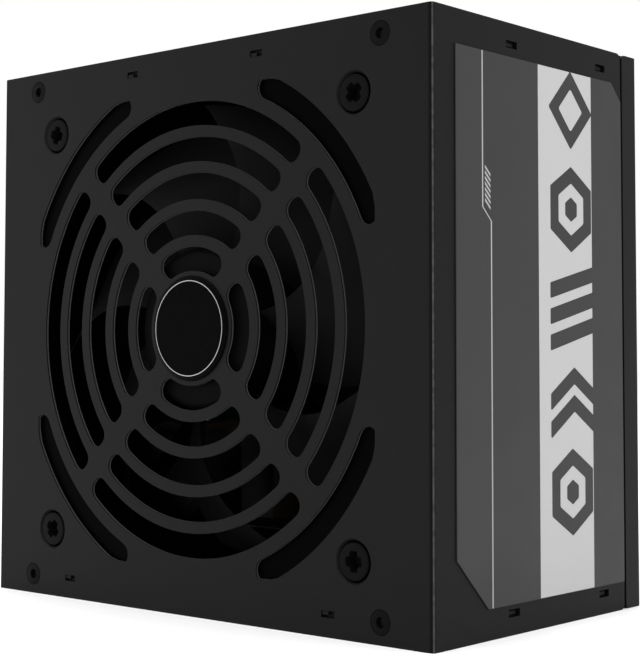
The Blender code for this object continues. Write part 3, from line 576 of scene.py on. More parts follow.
def paint_edge_light(material):
    """Paint shade and then a highlight onto the cover's two long bends, and a highlight onto the
    grille's cut edges.
    """
    tree = material.node_tree
    base = tree.nodes["Principled BSDF"].inputs["Base Color"]
    place_in = add_node(material, "TexCoord", {}).outputs["Object"]
    split = add_node(material, "SeparateXYZ", {"Vector": place_in}).outputs

    def calculate(operation, *values):
        inputs = dict(enumerate(values))
        return add_node(material, "Math", inputs, operation=operation).outputs[0]

    def cover_with(colour, amount):
        """Mix a colour over what the base colour has now."""
        inputs = {"Factor": amount, 6: base.links[0].from_socket, 7: colour}
        mix = add_node(material, "Mix", inputs, data_type="RGBA")
        tree.links.new(mix.outputs[2], base)

    # Painted shade, then a painted highlight, round each long bend of the cover, broken up by noise.
    across = calculate("ABSOLUTE", split["X"])
    corner = HALF_WIDTH - FRONT - BEND
    outward = calculate("SUBTRACT", across, split["Y"])
    on_bend = map_range(material, outward, corner - 0.00035, corner - 0.00010)
    middle = HALF_WIDTH + FRONT
    around = calculate("ADD", across, split["Y"])
    round_bend = map_range(material, around, middle - BEND, middle + BEND)
    bend_light = add_node(material, "ValToRGB", {"Fac": round_bend})
    stops = ((0.38, BEND_PAINTED_SHADE), (0.45, BEND_PAINTED_HIGHLIGHT), (0.66, BEND_PAINTED_HIGHLIGHT), (0.80, BEND_HIGHLIGHT_FADE))
    while len(bend_light.color_ramp.elements) < len(stops):
        bend_light.color_ramp.elements.new(0.5)
    for element, (position, colour) in zip(bend_light.color_ramp.elements, stops):
        element.position = position
        element.color = colour
    spots = add_node(material, "TexNoise", {"Vector": place_in, "Scale": 700}).outputs["Fac"]
    patchy = map_range(material, spots, 0.35, 0.65, start=0.55)
    inputs = {"Vector": bend_light.outputs["Color"], "Scale": patchy}
    cover_with(add_node(material, "VectorMath", inputs, operation="SCALE").outputs[0], on_bend)

    # Painted highlight on the cut walls of the grille's slots, paler than the coat.
    inputs = {0: place_in, 1: (0, FRONT, HUB_Z)}
    from_hub = add_node(material, "VectorMath", inputs, operation="DISTANCE").outputs["Value"]
    near = map_range(material, from_hub, CUT_EDGE_REACH, CUT_EDGE_REACH + 0.0001, 1.0, 0.0)
    start, end = FRONT + CUT_EDGE_DEPTH, FRONT + SHEET
    below = map_range(material, split["Y"], start, start + CUT_EDGE_FADE)
    above = map_range(material, split["Y"], end - CUT_EDGE_FADE, end, 1.0, 0.0)
    in_sheet = calculate("MULTIPLY", below, above)
    cover_with(CUT_EDGE_HIGHLIGHT, calculate("MULTIPLY", near, in_sheet))


# The coat's bends and cut edges get painted shade and painted highlights.
paint_edge_light(POWDER)


# ---------------- case


def notch_spans():
    half_x, half_z = FRONT_NOTCH_SIZE[0] / 2, FRONT_NOTCH_SIZE[1] / 2
    near, far = FRONT - SHEET, FRONT + 2 * SHEET
    spans = [
        ((x - half_x, near, z - half_z), (x + half_x, far, z + half_z)) for x, z in front_notches()
    ]
    half_y, half_z = SIDE_NOTCH_SIZE[0] / 2, SIDE_NOTCH_SIZE[1] / 2
    for side in (-1, 1):
        near, far = sorted((side * (INSIDE_X - SHEET), side * (HALF_WIDTH + SHEET)))
        spans += [
            ((near, y - half_y, z - half_z), (far, y + half_y, z + half_z))
            for y, z in side_notches()
        ]
    return spans


def corner_trim(corner, inward, radius):
    """Outline that rounds off a corner; inward gives the signs of the way into the material."""
    (y, z), (way_y, way_z) = corner, inward
    centre = (y + way_y * radius, z + way_z * radius)
    start = math.atan2(0, -way_y)
    turn = QUARTER if way_y * way_z > 0 else -QUARTER
    beyond_y, beyond_z = y - way_y * radius, z - way_z * radius
    points = arc(centre, radius, start, start + turn, CORNER_STEP)
    return points + [(centre[0], beyond_z), (beyond_y, beyond_z), (beyond_y, centre[1])]


def cones(name, centres, mouth, throat):
    """Cutters for countersunk holes in the fan face: mouth at the face, throat behind it."""
    slope = (mouth - throat) / SHEET
    overshoot = 0.0004
    profile = [(0, overshoot), (mouth + slope * overshoot, overshoot), (throat, -SHEET)]
    profile += [(throat, -SHEET - overshoot), (0, -SHEET - overshoot)]
    return join(name, [turned(name, profile, (x, FRONT, z), steps=40) for x, z in centres])


def build_fan_cover():
    """U-shaped cover: the fan face and both sides, bent from one sheet."""
    bend_x, bend_y = HALF_WIDTH - BEND, FRONT + BEND
    outline = [(HALF_WIDTH, COVER_BACK)]
    outline += arc((bend_x, bend_y), BEND, 0, -QUARTER, CORNER_STEP)
    outline += arc((-bend_x, bend_y), BEND, -QUARTER, -math.pi, CORNER_STEP)
    outline += [(-HALF_WIDTH, COVER_BACK), (-INSIDE_X, COVER_BACK), (-INSIDE_X, FRONT + SHEET)]
    outline += [(INSIDE_X, FRONT + SHEET), (INSIDE_X, COVER_BACK)]
    cover = plate("cover", [outline], (0, HEIGHT))

    slots = []
    radius = GRILLE_INNER
    for width in GRILLE_SLOTS:
        slots += quarters(grille_slot(radius, radius + width))
        radius += width + GRILLE_BAR
    slots += quarters(corner_slot())
    slots = [move(slot, 0, HUB_Z) for slot in slots]
    combine(cover, plate("slots", slots, (FRONT - SHEET, FRONT + 2 * SHEET), "Y"))
    combine(cover, boxes("notches", notch_spans()))
    combine(cover, cones("fan_sinks", FAN_SCREWS, *FAN_SINK))
    combine(cover, cones("case_sinks", CASE_SCREWS, *CASE_SINK))
    ends = ((0, 1), (HEIGHT, -1))
    trims = [corner_trim((COVER_BACK, z), (-1, inward), COVER_TRIM) for z, inward in ends]
    far = HALF_WIDTH + SHEET
    combine(cover, plate("trims", trims, (-far, far), "X"))
    place(soften(cover), POWDER, "case", "fan_cover")


def vent_centres():
    """Honeycomb places on the mains end, clear of the socket, switch and mounting holes."""
    keep_out = [(x, y, HOLE_MARGIN, HOLE_MARGIN) for x, y in MOUNT_HOLES]
    for node in ("inlet_housing", "switch_housing"):
        middle, size = box_of(node)
        reach = (size[0] / 2 + VENT_MARGIN, size[1] / 2 + VENT_MARGIN)
        keep_out.append((middle[0], middle[1], *reach))
    places = []
    row_pitch = VENT_PITCH * math.sqrt(3) / 2
    for row in range(-4, 5):
        shift = VENT_PITCH / 2 if row % 2 else 0
        for column in range(-8, 9):
            x, y = column * VENT_PITCH + shift, row * row_pitch
            clear = all(abs(x - cx) > hx or abs(y - cy) > hy for cx, cy, hx, hy in keep_out)
            if clear and abs(x) <= VENT_LIMIT:
                places.append((x, y))
    return places


def bent_profile(corners, thickness, bend):
    """Closed outline of a bent sheet whose outer side follows the corners; it lies on the left."""
    outer, inner = [], []
    for index, corner in enumerate(corners):
        here = Vector(corner)
        if index in (0, len(corners) - 1):
            ends = (corners[1], corners[0]) if index == 0 else (corners[-1], corners[-2])
            run = (Vector(ends[0]) - Vector(ends[1])).normalized()
            outer.append(tuple(here))
            inner.append(tuple(here + thickness * Vector((-run.y, run.x))))
            continue
        before = (here - Vector(corners[index - 1])).normalized()
        after = (Vector(corners[index + 1]) - here).normalized()
        start = math.atan2(-after.y, -after.x)
        outer += arc(here + bend * (after - before), bend, start, start + QUARTER, CORNER_STEP)
        inner.append(tuple(here + thickness * (after - before)))
    return outer + inner[::-1]


def add_side_lips(shell):
    """Add the narrow strips of both sides that show behind the cover."""
    root, low, high = 0.072, 0.0001, HEIGHT - 0.0001
    trims = [corner_trim((LIP_TOP, z), (1, way), LIP_TRIM) for z, way in ((low, 1), (high, -1))]
    trims += [corner_trim((BACK, z), (-1, way), BEND) for z, way in ((low, 1), (high, -1))]
    for side in (-1, 1):
        bend = arc((HALF_WIDTH - BEND, BACK - BEND), BEND, QUARTER, 0, CORNER_STEP)
        lip = [(root, BACK), *bend, (HALF_WIDTH, LIP_TOP), (INSIDE_X, LIP_TOP)]
        lip += [(INSIDE_X, BACK - SHEET), (root, BACK - SHEET)]
        strip = plate("lip", [[(side * x, y) for x, y in lip]], (low, high))
        combine(strip, plate("lip_trims", trims, (-0.1, 0.1), "X"))
        combine(shell, strip, "UNION")


def add_flanges(shell, edge, reach):
    """Add the side flanges of both ends, and the hooks that show in the cover's notches."""
    flange_x = reach - 0.0002
    hook_y, hook_z = SIDE_HOOK
    flanges, hooks = [], []
    for side in (-1, 1):
        near, far = sorted((side * flange_x, side * (flange_x - SHEET)))
        for low, high in ((0.0004, END_FLANGE), (HEIGHT - END_FLANGE, HEIGHT - 0.0004)):
            flanges.append(((near, edge + 0.0004, low), (far, BACK - 0.0004, high)))
        near, far = sorted((side * (flange_x - SHEET / 2), side * (INSIDE_X + CLEARANCE / 3)))
        hooks += [
            ((near, y - hook_y, z - hook_z), (far, y + hook_y, z + hook_z))
            for y, z in side_notches()
        ]
    half_x, half_z = FRONT_NOTCH_SIZE[0] / 2, FRONT_NOTCH_SIZE[1] / 2
    for x, z in front_notches():
        way = 1 if z > HUB_Z else -1
        low, high = sorted((z - way * (half_z - 0.0001), z + way * half_z * 0.2))
        hooks.append(((x - half_x + 0.0001, FRONT + 0.0002, low), (x, edge + SHEET / 2, high)))
    combine(shell, boxes("flanges", flanges), "UNION")
    combine(shell, boxes("hooks", hooks), "UNION")


def opening(node, margin, corner=None):
    """Outline a margin inside a CAD node's box, with round ends if no corner is given."""
    middle, size = box_of(node)
    width, depth = size[0] - 2 * margin, size[1] - 2 * margin
    return rounded_rectangle(middle, (width, depth), corner or depth / 2 - 1e-5)


def build_base_shell():
    """Back panel with both ends bent from it, their inner flanges, and the side lips."""
    edge = FRONT + SHEET + CLEARANCE
    corners = [(edge, END_FLANGE), (edge, 0), (BACK, 0), (BACK, HEIGHT), (edge, HEIGHT)]
    corners.append((edge, HEIGHT - END_FLANGE))
    reach = INSIDE_X - CLEARANCE
    shell = plate("shell", [bent_profile(corners, SHEET, BEND)], (-reach, reach), "X")
    add_side_lips(shell)
    add_flanges(shell, edge, reach)

    end = (HEIGHT - 2 * SHEET, HEIGHT + SHEET)
    start, stop, step = math.pi / 6, math.pi * 11 / 6, math.pi / 3
    hexagons = [arc(spot, VENT_RADIUS, start, stop, step) for spot in vent_centres()]
    cuts = [rounded(hexagon, VENT_CORNER, COARSE_STEP) for hexagon in hexagons]
    cuts += [circle(spot, MOUNT_HOLE_RADIUS, 32) for spot in MOUNT_HOLES]
    combine(shell, plate("end_cuts", cuts, end))
    cuts = [opening("inlet_housing", 0.0016, 0.001), opening("switch_housing", 0.0008, 0.001)]
    combine(shell, plate("end_openings", cuts, end))
    combine(shell, plate("outlet", [opening("cable_grommet", 0.0012)], (-SHEET, 2 * SHEET)))
    place(soften(shell, 0.00010), POWDER, "case", "base_shell")


# ---------------- screws

# Each kind's places, first angle and step in degrees, head radius, shank radius, length, how far
# the head is sunk, and the recess's width, arm and depth.
SCREWS = {
    "fan_screw": (
        FAN_SCREWS, (18, 37), 0.0043, 0.0024, 0.0100, 0.00012, (0.0050, 0.00115, 0.0030)
    ),
    "case_screw": (
        CASE_SCREWS, (10, 53), 0.00283, 0.0015, 0.0060, 0.00002, (0.0026, 0.0008, 0.0018)
    ),
}
SCREW_TURNS = 8
RECESS_TAPER = 0.7


def cross_recess(width, arm, depth, face, angle):
    """Cutter for a cross recess that narrows as it goes in."""
    half = width / 2
    plus = [spot for part in quarters([(half, arm), (arm, arm), (arm, half)]) for spot in part]
    outline = rotate(rounded(plus, arm * 0.45, COARSE_STEP), angle)
    cutter = plate("recess", [outline], (-depth / 2, depth / 2))
    for vertex in cutter.data.vertices:
        if vertex.co.z < 0:
            vertex.co.x *= RECESS_TAPER
            vertex.co.y *= RECESS_TAPER
    return lay(cutter, (0, 0, face + 0.0004 - depth / 2))


def build_screw(name, spot, angle, head, shank, length, sunk, recess):
    """Countersunk screw with a domed rim and a cross recess, facing the fan side."""
    face = -FRONT - sunk
    edge = head * 0.06
    first, last = face - edge * 2.2 - (head - shank), -FRONT - length
    profile = [(0, face), (head - 2 * edge, face), (head - edge * 0.5, face - edge * 0.35)]
    profile += [(head, face - edge), (head, face - edge * 2.2), (shank, first)]
    pitch = (first - last) / SCREW_TURNS
    for turn in range(SCREW_TURNS):
        z = first - pitch * (turn + 0.5)
        profile += [(shank, z + 0.0001), (shank * 0.86, z - pitch * 0.3)]
    profile += [(shank * 0.7, last), (0, last)]
    screw = turned(name, profile, axis="Z", steps=48)
    combine(screw, cross_recess(*recess, face, angle))
    return shade(lay(screw, (spot[0], 0, spot[1]), FACING["Y"]), 35)


def build_screws():
    for kind, (spots, (start, step), *sizes) in SCREWS.items():
        for number, spot in enumerate(spots, 1):
            angle = math.radians(start + step * number)
            screw = build_screw(f"{kind}_head_{number}", spot, angle, *sizes)
            place(screw, SCREW_BLACK, "case_screw", f"{kind}_{number}")


# ---------------- badge and labels


def build_badge():
    """Raised round badge: a black rim, a thin silver ring and a flat black face."""
    middle, size = box_of("hub_badge")
    radius = size[0] / 2
    back, front = -middle[1] - size[1] / 2, -middle[1] + size[1] / 2
    out, inner = 0.01178, 0.01157
    rim = [(inner, front - 0.0003), (out, front - 0.00010), (out + 0.0002, front - 0.00012)]
    rim += [(radius - 0.00025, front - 0.00030), (radius - 0.00005, front - 0.00045)]
    rim += [(radius, back), (inner, back)]
    ring = [(inner, front - 0.0002), (inner, front - 0.00003), (inner + 0.00008, front)]
    ring += [(out - 0.00008, front), (out, front - 0.00003), (out, front - 0.0002)]
    edge, top = inner - 0.00002, front - 0.00012
    face = [(0, top), (edge, top), (edge, back), (0, back)]

    def part(name, profile, material, *nodes, closed=True):
        piece = turned(name, profile, (0, 0, HUB_Z), steps=128, closed=closed)
        place(shade(piece), material, "badge", *nodes)

    part("badge_body", rim, BADGE_RIM, "hub_badge")
    part("badge_ring", ring, SILVER)
    part("badge_face", face, BADGE_BLACK, closed=False)


def slanted_bar(left, right, low):
    """Bar between two verticals that climbs as it goes right."""
    lean, width = 0.0048, 0.0038
    points = [(left, low), (right, low + lean), (right, low + lean + width), (left, low + width)]
    return rounded(points, 0.0004)


def chevron(left, right, low):
    """Arrow head that points up."""
    rise, width = 0.0062, 0.0041
    middle = (left + right) / 2
    points = [(left, low), (middle, low + rise), (right, low)]
    points += [(right, low + width), (middle, low + rise + width), (left, low + width)]
    return rounded(points, 0.0004)


def stripe_motifs():
    """Plain figures for the stripe: what is cut out, what stays in it, and what is cut from that."""
    left, right = STRIPE_MOTIF_LEFT, STRIPE[1]
    middle = (left + right) / 2
    past = right + 0.002

    def hexagons(radius):
        return [polygon((middle, z), radius, 6, math.pi / 6) for z in (0.0307, 0.0985)]

    figures = hexagons(0.0104)
    figures += [chevron(left, past, low) for low in (0.0436, 0.0502)]
    figures += [slanted_bar(left, past, low) for low in (0.0644, 0.0706, 0.0768)]
    figures.append(polygon((middle, 0.1226), 0.0096, 4))
    centres = hexagons(0.0063) + [polygon((middle, 0.1226), 0.0052, 4)]
    return figures, centres, hexagons(0.0030)


def build_side_label(side, node):
    """Printed film: a paler band, a thin stepped line, a hash mark and a pale stripe of figures."""
    low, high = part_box(node)
    y_low, y_high, z_low, z_high = low.y, high.y, low.z, high.z
    outer = side * max(abs(low.x), abs(high.x))
    film_top = outer - side * PRINT_DEPTH
    touching = side * (HALF_WIDTH + 0.00002)
    left, right = STRIPE
    low_edge, high_edge = z_low + PRINT_INSET, z_high - PRINT_INSET
    step_y = LINE_Y + LINE_STEP
    jog_high, jog_low = LINE_JOG

    def ink(name, outlines, material, lift=1.0):
        span = sorted((film_top - side * PRINT_DEPTH / 2, film_top + side * PRINT_DEPTH * lift))
        return place(plate(f"{node}_{name}", outlines, span, "X"), material, "label")

    outline = [(y_low, z_high), (y_low, z_low + LABEL_LOW_CUT), (y_low + LABEL_LOW_CUT, z_low)]
    outline += [(y_high, z_low), (y_high, z_high - LABEL_HIGH_CUT)]
    outline.append((y_high - LABEL_HIGH_CUT, z_high))
    film = plate(f"{node}_film", [outline], sorted((touching, film_top)), "X")
    place(soften(film, 0.0001), FILM, "label", node)

    route = [(LINE_Y, high_edge), (LINE_Y, jog_high), (step_y, jog_low), (step_y, low_edge)]
    band = [(y_low + PRINT_INSET, high_edge), (y_low + PRINT_INSET, z_low + LABEL_LOW_CUT)]
    band += [(y_low + LABEL_LOW_CUT, low_edge), *route[::-1]]
    ink("band", [band], FILM_BAND, lift=0.4)
    ink("line", [route + [(y + LINE_WIDTH, z) for y, z in reversed(route)]], INK_LINE)

    hashes = []
    for index in range(7):
        z = jog_high + 0.0013 + index * 0.00125
        start, end, drop, width = LINE_Y + 0.0011, LINE_Y + 0.0032, 0.00185, 0.00065
        hashes.append([(start, z), (end, z - drop), (end, z - drop + width), (start, z + width)])
    ink("hash", hashes, INK_LINE)

    stripe = ink("stripe", [rectangle((left, low_edge), (right, high_edge))], INK_PALE)
    figures, centres, cores = stripe_motifs()
    cutter = plate("figures", figures, (outer - 0.001, outer + 0.001), "X")
    combine(cutter, plate("centres", centres, (outer - 0.002, outer + 0.002), "X"))
    combine(cutter, plate("cores", cores, (outer - 0.001, outer + 0.001), "X"), "UNION")
    shade(combine(stripe, cutter))


def build_rating_label():
    """Film on the back panel with a plain ruled table and bars, and no writing."""
    low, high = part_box("rating_label")
    middle, size = box_of("rating_label")
    centre = (middle[0], middle[2])
    outline = rounded_rectangle(centre, (size[0], size[2]), 0.002)
    film_span = (low.y, high.y - PRINT_DEPTH)
    film = plate("rating_film", [outline], film_span, "Y", bevel=0.00004, resolution=0)
    place(shade(film), FILM, "label", "rating_label")

    print_span = (high.y - PRINT_DEPTH * 1.5, high.y)
    margin, bar_low, bar_step, bar_height = 0.006, 0.010, 0.009, 0.0032
    table_low, table_high = (low.x + margin, low.z + 0.040), (high.x - margin, high.z - 0.008)
    columns, rows = TABLE_CELLS
    step_x = (table_high[0] - table_low[0] - TABLE_LINE) / columns
    step_z = (table_high[1] - table_low[1] - TABLE_LINE) / rows
    cells = []
    for column in range(columns):
        for row in range(rows):
            x = table_low[0] + TABLE_LINE + column * step_x
            z = table_low[1] + TABLE_LINE + row * step_z
            cells.append(rectangle((x, z), (x + step_x - TABLE_LINE, z + step_z - TABLE_LINE)))
    table = plate("rating_table", [rectangle(table_low, table_high)], print_span, "Y", cells)
    place(shade(table), INK_LINE, "label")
    bars = []
    for row, share in enumerate((0.55, 0.80, 0.40)):
        length = size[0] * share - 2 * margin
        spot = (low.x + margin + length / 2, low.z + bar_low + row * bar_step)
        bars.append(rounded_rectangle(spot, (length, bar_height), 0.0008))
    place(shade(plate("rating_bars", bars, print_span, "Y")), INK_PALE, "label")


# ---------------- fan


def build_fan_frame():
    """Square frame: a flared duct, corner pockets, four struts and the motor base."""
    low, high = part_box("fan_frame")
    front, back = low.y, high.y
    size = high.x - low.x
    centre = (0, 0, HUB_Z)
    square = rounded_rectangle((0, HUB_Z), (size, size), 0.006)
    body = plate("frame", [square], (front, back), "Y", [circle((0, HUB_Z), DUCT_RADIUS, 120)])
    reach = math.radians(31)
    pocket = arc((0, 0), DUCT_RADIUS + 0.0026, math.pi / 4 - reach, math.pi / 4 + reach)
    far = size / 2 + 0.001
    pocket += [(pocket[-1][0], far), (far, far), (far, pocket[0][1])]
    pockets = [move(outline, 0, HUB_Z) for outline in quarters(pocket)]
    flange = 0.004
    combine(body, plate("pockets", pockets, (front + flange, back - flange), "Y"))
    for radius, end in ((0.0029, back + 0.001), (0.0050, front + 0.0020)):
        bores = [circle(spot, radius, 32) for spot in FAN_SCREWS]
        combine(body, plate("bores", bores, (front - 0.001, end), "Y"))
    top = -front
    flare = [(0, top + 0.0005), (DUCT_RADIUS + 0.0022, top + 0.0005), (DUCT_RADIUS + 0.0018, top)]
    flare += [(DUCT_RADIUS + 0.0007, top - 0.0012), (DUCT_RADIUS - 0.0002, top - 0.0040)]
    flare.append((0, top - 0.0040))
    combine(body, turned("flare", flare, centre, steps=120))
    soften(body, 0.00025, 2, 55)

    foot = -back
    floor, tip = foot + 0.0020, foot + 0.0166
    tube = [(0, floor), (0.0035, floor), (0.0035, tip), (0.0048, tip), (0.0048, floor)]
    tube += [(0.0206, floor), (0.0210, floor - 0.0004), (0.0210, foot + 0.0004)]
    tube += [(0.0206, foot), (0, foot)]
    base = shade(turned("base", tube, centre))
    strut = rounded_rectangle((STRUT_MIDDLE, 0), STRUT_SIZE, 0.0004, math.radians(45))
    struts = [move(outline, 0, HUB_Z) for outline in quarters(rotate(strut, math.pi / 4))]
    arms = shade(plate("arms", struts, (back - 0.0028, back - 0.0002), "Y", bevel=0.0003))
    whole = join("fan_housing", [body, base, arms])
    place(shade(whole, 15), FAN_FRAME, "fan_plastic", "fan_frame")


def blade_body(bm, start):
    """One closed blade: swept forward, twisted, thickest a little ahead of its middle."""
    inner, outer = BLADE_REACH
    spans, chords = BLADE_GRID
    front_grid, back_grid = [], []
    for i in range(spans + 1):
        share = i / spans
        radius = inner + (outer - inner) * share
        out = radius - BLADE_MIDDLE
        leading = start + BLADE_SWEEP[0] * out + BLADE_SWEEP[1] * out * out
        round_off = 0.035 * max(0.0, share - 0.86) / 0.14
        for j in range(chords + 1):
            along = j / chords
            width = math.radians(BLADE_CHORD_DEGREES[0] - BLADE_CHORD_DEGREES[1] * share)
            angle = leading - width * along - round_off * math.cos(math.pi * along)
            height = BLADE_TOP - BLADE_DROP * (along + 0.16 * math.sin(math.pi * along))
            profile = math.sqrt(max(0.0, along * (1 - along))) * (1.25 - 0.5 * along)
            thick = 0.00012 + (0.0016 - 0.0005 * share) * profile
            x, y = polar(radius, angle)
            lean = Vector(polar(1.0, angle + math.pi / 2)).to_3d() * BLADE_LEAN[0]
            lean += Vector((0, 0, BLADE_LEAN[1]))
            lean.normalize()
            centre = Vector((x, y, height))
            front_grid.append(bm.verts.new(centre + lean * thick / 2))
            back_grid.append(bm.verts.new(centre - lean * thick / 2))
    row = chords + 1
    for i in range(spans):
        for j in range(chords):
            a = i * row + j
            bm.faces.new([front_grid[k] for k in (a, a + row, a + row + 1, a + 1)])
            bm.faces.new([back_grid[k] for k in (a, a + 1, a + row + 1, a + row)])
    rim = [(k, k + 1) for k in range(chords)]
    rim += [(i * row + chords, (i + 1) * row + chords) for i in range(spans)]
    rim += [(spans * row + k + 1, spans * row + k) for k in reversed(range(chords))]
    rim += [((i + 1) * row, i * row) for i in reversed(range(spans))]
    for a, b in rim:
        bm.faces.new([front_grid[a], front_grid[b], back_grid[b], back_grid[a]])


def build_rotor():
    """Hub with a rounded edge, and its swept blades."""
    low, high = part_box("fan_impeller")
    top, back = -low.y, -high.y
    inner = HUB_RADIUS - 0.0023
    edge = 0.0016
    under, tip = top - 0.0017, top - 0.0055
    profile = [(0, top), *arc((HUB_RADIUS - edge, top - edge), edge, QUARTER, 0, CORNER_STEP)]
    profile += [(HUB_RADIUS, back), (inner, back), (inner, under), (0.0036, under), (0.0036, tip)]
    profile += [(0.0016, tip), (0.0016, top - 0.0009), (0, top - 0.0009)]
    hub = turned("fan_hub", profile, axis="Z", steps=96)
    bm = bmesh.new()
    for blade in range(BLADE_COUNT):
        blade_body(bm, BLADE_START + blade * 2 * math.pi / BLADE_COUNT)
    bmesh.ops.recalc_face_normals(bm, faces=bm.faces)
    for piece, material in ((hub, FAN_HUB), (add_bmesh("fan_blades", bm), FAN_GLOSS)):
        shade(lay(piece, (0, 0, HUB_Z), FACING["Y"]), 40)
        place(piece, material, "fan_plastic", "fan_impeller", body="fan_rotor")


# ---------------- both ends


def build_inlet():
    """Mains socket: a flange with a body below it, a chamfered well and three pins."""
    low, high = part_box("inlet_housing")
    middle, size = box_of("inlet_housing")
    flange_low = HEIGHT + CLEARANCE
    half_x, half_y, chamfer = 0.0121, 0.0083, 0.0042
    well = [(-half_x, -half_y), (half_x, -half_y), (half_x, half_y - chamfer)]
    well += [(half_x - chamfer, half_y), (chamfer - half_x, half_y), (-half_x, half_y - chamfer)]
    well = rounded(move(well, middle[0], middle[1]), 0.0008)
    body = rounded_rectangle(middle, INLET_BODY, 0.0008)
    floor = low.z + 0.0085
    housing = plate("housing", [rounded_rectangle(middle, size, 0.0022)], (flange_low, high.z))
    combine(housing, plate("body", [body], (low.z, flange_low + 0.0010)), "UNION")
    combine(housing, plate("well", [well], (floor, high.z + 0.001)))
    slots = []
    around = Vector((CLEARANCE, CLEARANCE, 0))
    for name in ("live", "neutral", "earth"):
        pin_low, pin_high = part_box(f"inlet_pin_{name}")
        pin_low.z, pin_high.z = low.z - 0.001, floor + 0.001
        slots.append((pin_low - around, pin_high + around))
        build_pin(name)
    combine(housing, boxes("pin_slots", slots))
    place(soften(housing, 0.00035, 3, 40), PLASTIC, "black_plastic", "inlet_housing")


def build_pin(name):
    """Flat blade with a pointed tip and rounded edges."""
    node = f"inlet_pin_{name}"
    low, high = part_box(node)
    middle, _ = box_of(node)
    shoulder = high.z - PIN_TIP
    tip = boxes("tip", [((low.x, low.y, shoulder), high)])
    for vertex in tip.data.vertices:
        if vertex.co.z > high.z - 1e-5:
            vertex.co.x = middle[0] + (vertex.co.x - middle[0]) * 0.55
            vertex.co.y = middle[1] + (vertex.co.y - middle[1]) * 0.75
    body = boxes("body", [(low, (high.x, high.y, shoulder))])
    pin = soften(join(f"socket_pin_{name}", [tip, body]), 0.0003, 3, 20)
    place(pin, NICKEL, "pin", node)


def axle(radius, half_length):
    """Cylinder along Z; laid along X, it cuts the bezel's seat or makes the rocker's stubs."""
    profile = [(0, half_length), (radius, half_length), (radius, -half_length), (0, -half_length)]
    return turned("axle", profile, axis="Z", steps=24)


def build_switch():
    """Rocker switch: a bezel with a body below it, and a rocker with on and off marks."""
    low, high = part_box("switch_housing")
    middle, size = box_of("switch_housing")
    flange_low = HEIGHT + CLEARANCE
    pivot = (middle[0], middle[1], ROCKER_PIVOT_Z)
    housing = plate("bezel", [rounded_rectangle(middle, size, 0.0016)], (flange_low, high.z))
    body = rounded_rectangle(middle, SWITCH_BODY, 0.0006)
    combine(housing, plate("body", [body], (low.z, flange_low + 0.0008)), "UNION")
    well = rounded_rectangle(middle, SWITCH_WELL, 0.0004)
    combine(housing, plate("well", [well], (ROCKER_PIVOT_Z - 0.0058, high.z + 0.001)))
    combine(housing, lay(axle(0.0013, 0.0067), pivot, (0, QUARTER, 0)))
    place(soften(housing, 0.00030, 3, 40), PLASTIC, "black_plastic", "switch_housing")

    right = arc((0, 0), ROCKER_RADIUS, ROCKER_END, math.radians(-20), math.radians(4))
    left = [(-y, z) for y, z in reversed(right)]
    outline = [(0, ROCKER_DIP), *right, (0.0022, -0.0048), (-0.0022, -0.0048), *left]
    rocker = plate("rocker_paddle", [outline], (-0.0051, 0.0051), "X")
    combine(rocker, lay(axle(0.0010, 0.0063), rotation=(0, QUARTER, 0)), "UNION")
    soften(rocker, 0.00030, 3, 40)

    end_y, end_z = polar(ROCKER_RADIUS, ROCKER_END)
    slope = math.atan2(end_z - ROCKER_DIP, end_y)
    height = ROCKER_DIP + MARK_OUT * math.tan(slope) + 0.00001
    depth = (0, 0.00005)
    line = plate("switch_mark_on", [rounded_rectangle((0, 0), (0.0005, 0.0030), 0.0002)], depth)
    ring = [circle((0, 0), 0.0015, 40)]
    hole = [circle((0, 0), 0.0011, 40)]
    loop = plate("switch_mark_off", ring, depth, holes=hole)
    for mark, sign in ((line, 1), (loop, -1)):
        lay(mark, (0, sign * MARK_OUT, height), (sign * slope, 0, 0))
        shade(lay(mark, pivot, (-ROCKER_TILT, 0, 0)))
        place(mark, MARK_WHITE, "black_plastic", body="rocker")
    lay(rocker, pivot, (-ROCKER_TILT, 0, 0))
    place(rocker, PLASTIC, "black_plastic", "switch_rocker", body="rocker")


def build_grommet():
    """Snap-in bushing with a rounded mouth."""
    middle, size = box_of("cable_grommet")
    lip, wall = 0.0015, 0.0020

    def oval(inset):
        width, depth = size[0] - 2 * inset, size[1] - 2 * inset
        return [rounded_rectangle(middle, (width, depth), depth / 2 - 0.0003)]

    bush = plate("cable_bush", oval(lip), (middle[2] - size[2] / 2, middle[2] + size[2] / 2))
    combine(bush, plate("rim", oval(0), (SHEET + CLEARANCE, 0.0026)), "UNION")
    combine(bush, plate("hole", oval(lip + wall), (-0.001, 0.006)))
    place(soften(bush, 0.00045, 4, 40), PLASTIC, "black_plastic", "cable_grommet")


# ---------------- inside


WIRE_SIDES = 6
BORE_SHARE = 0.42


def wire_turn(bm, ring, wire, angle):
    """One turn of wire round a core: ring is its inner and outer radius and half its height."""
    inner, outer, half = ring
    size = (outer - inner, 2 * half)
    path = rounded_rectangle(((inner + outer) / 2, 0), size, min(size) * 0.32, COARSE_STEP)
    loops = []
    for index, (radius, height) in enumerate(path):
        ahead = Vector(path[(index + 1) % len(path)]) - Vector(path[index - 1])
        out = Vector((ahead.y, -ahead.x)).normalized() * wire / 2
        loop = []
        for across, along in circle((0, 0), 1.0, WIRE_SIDES):
            spot = rotate([(radius + out.x * across, along * wire / 2)], angle)[0]
            loop.append(bm.verts.new((*spot, height + out.y * across)))
        loops.append(loop)
    for index, loop in enumerate(loops):
        after = loops[(index + 1) % len(loops)]
        for side in range(len(loop)):
            beside = (side + 1) % len(loop)
            bm.faces.new((loop[side], loop[beside], after[beside], after[side]))


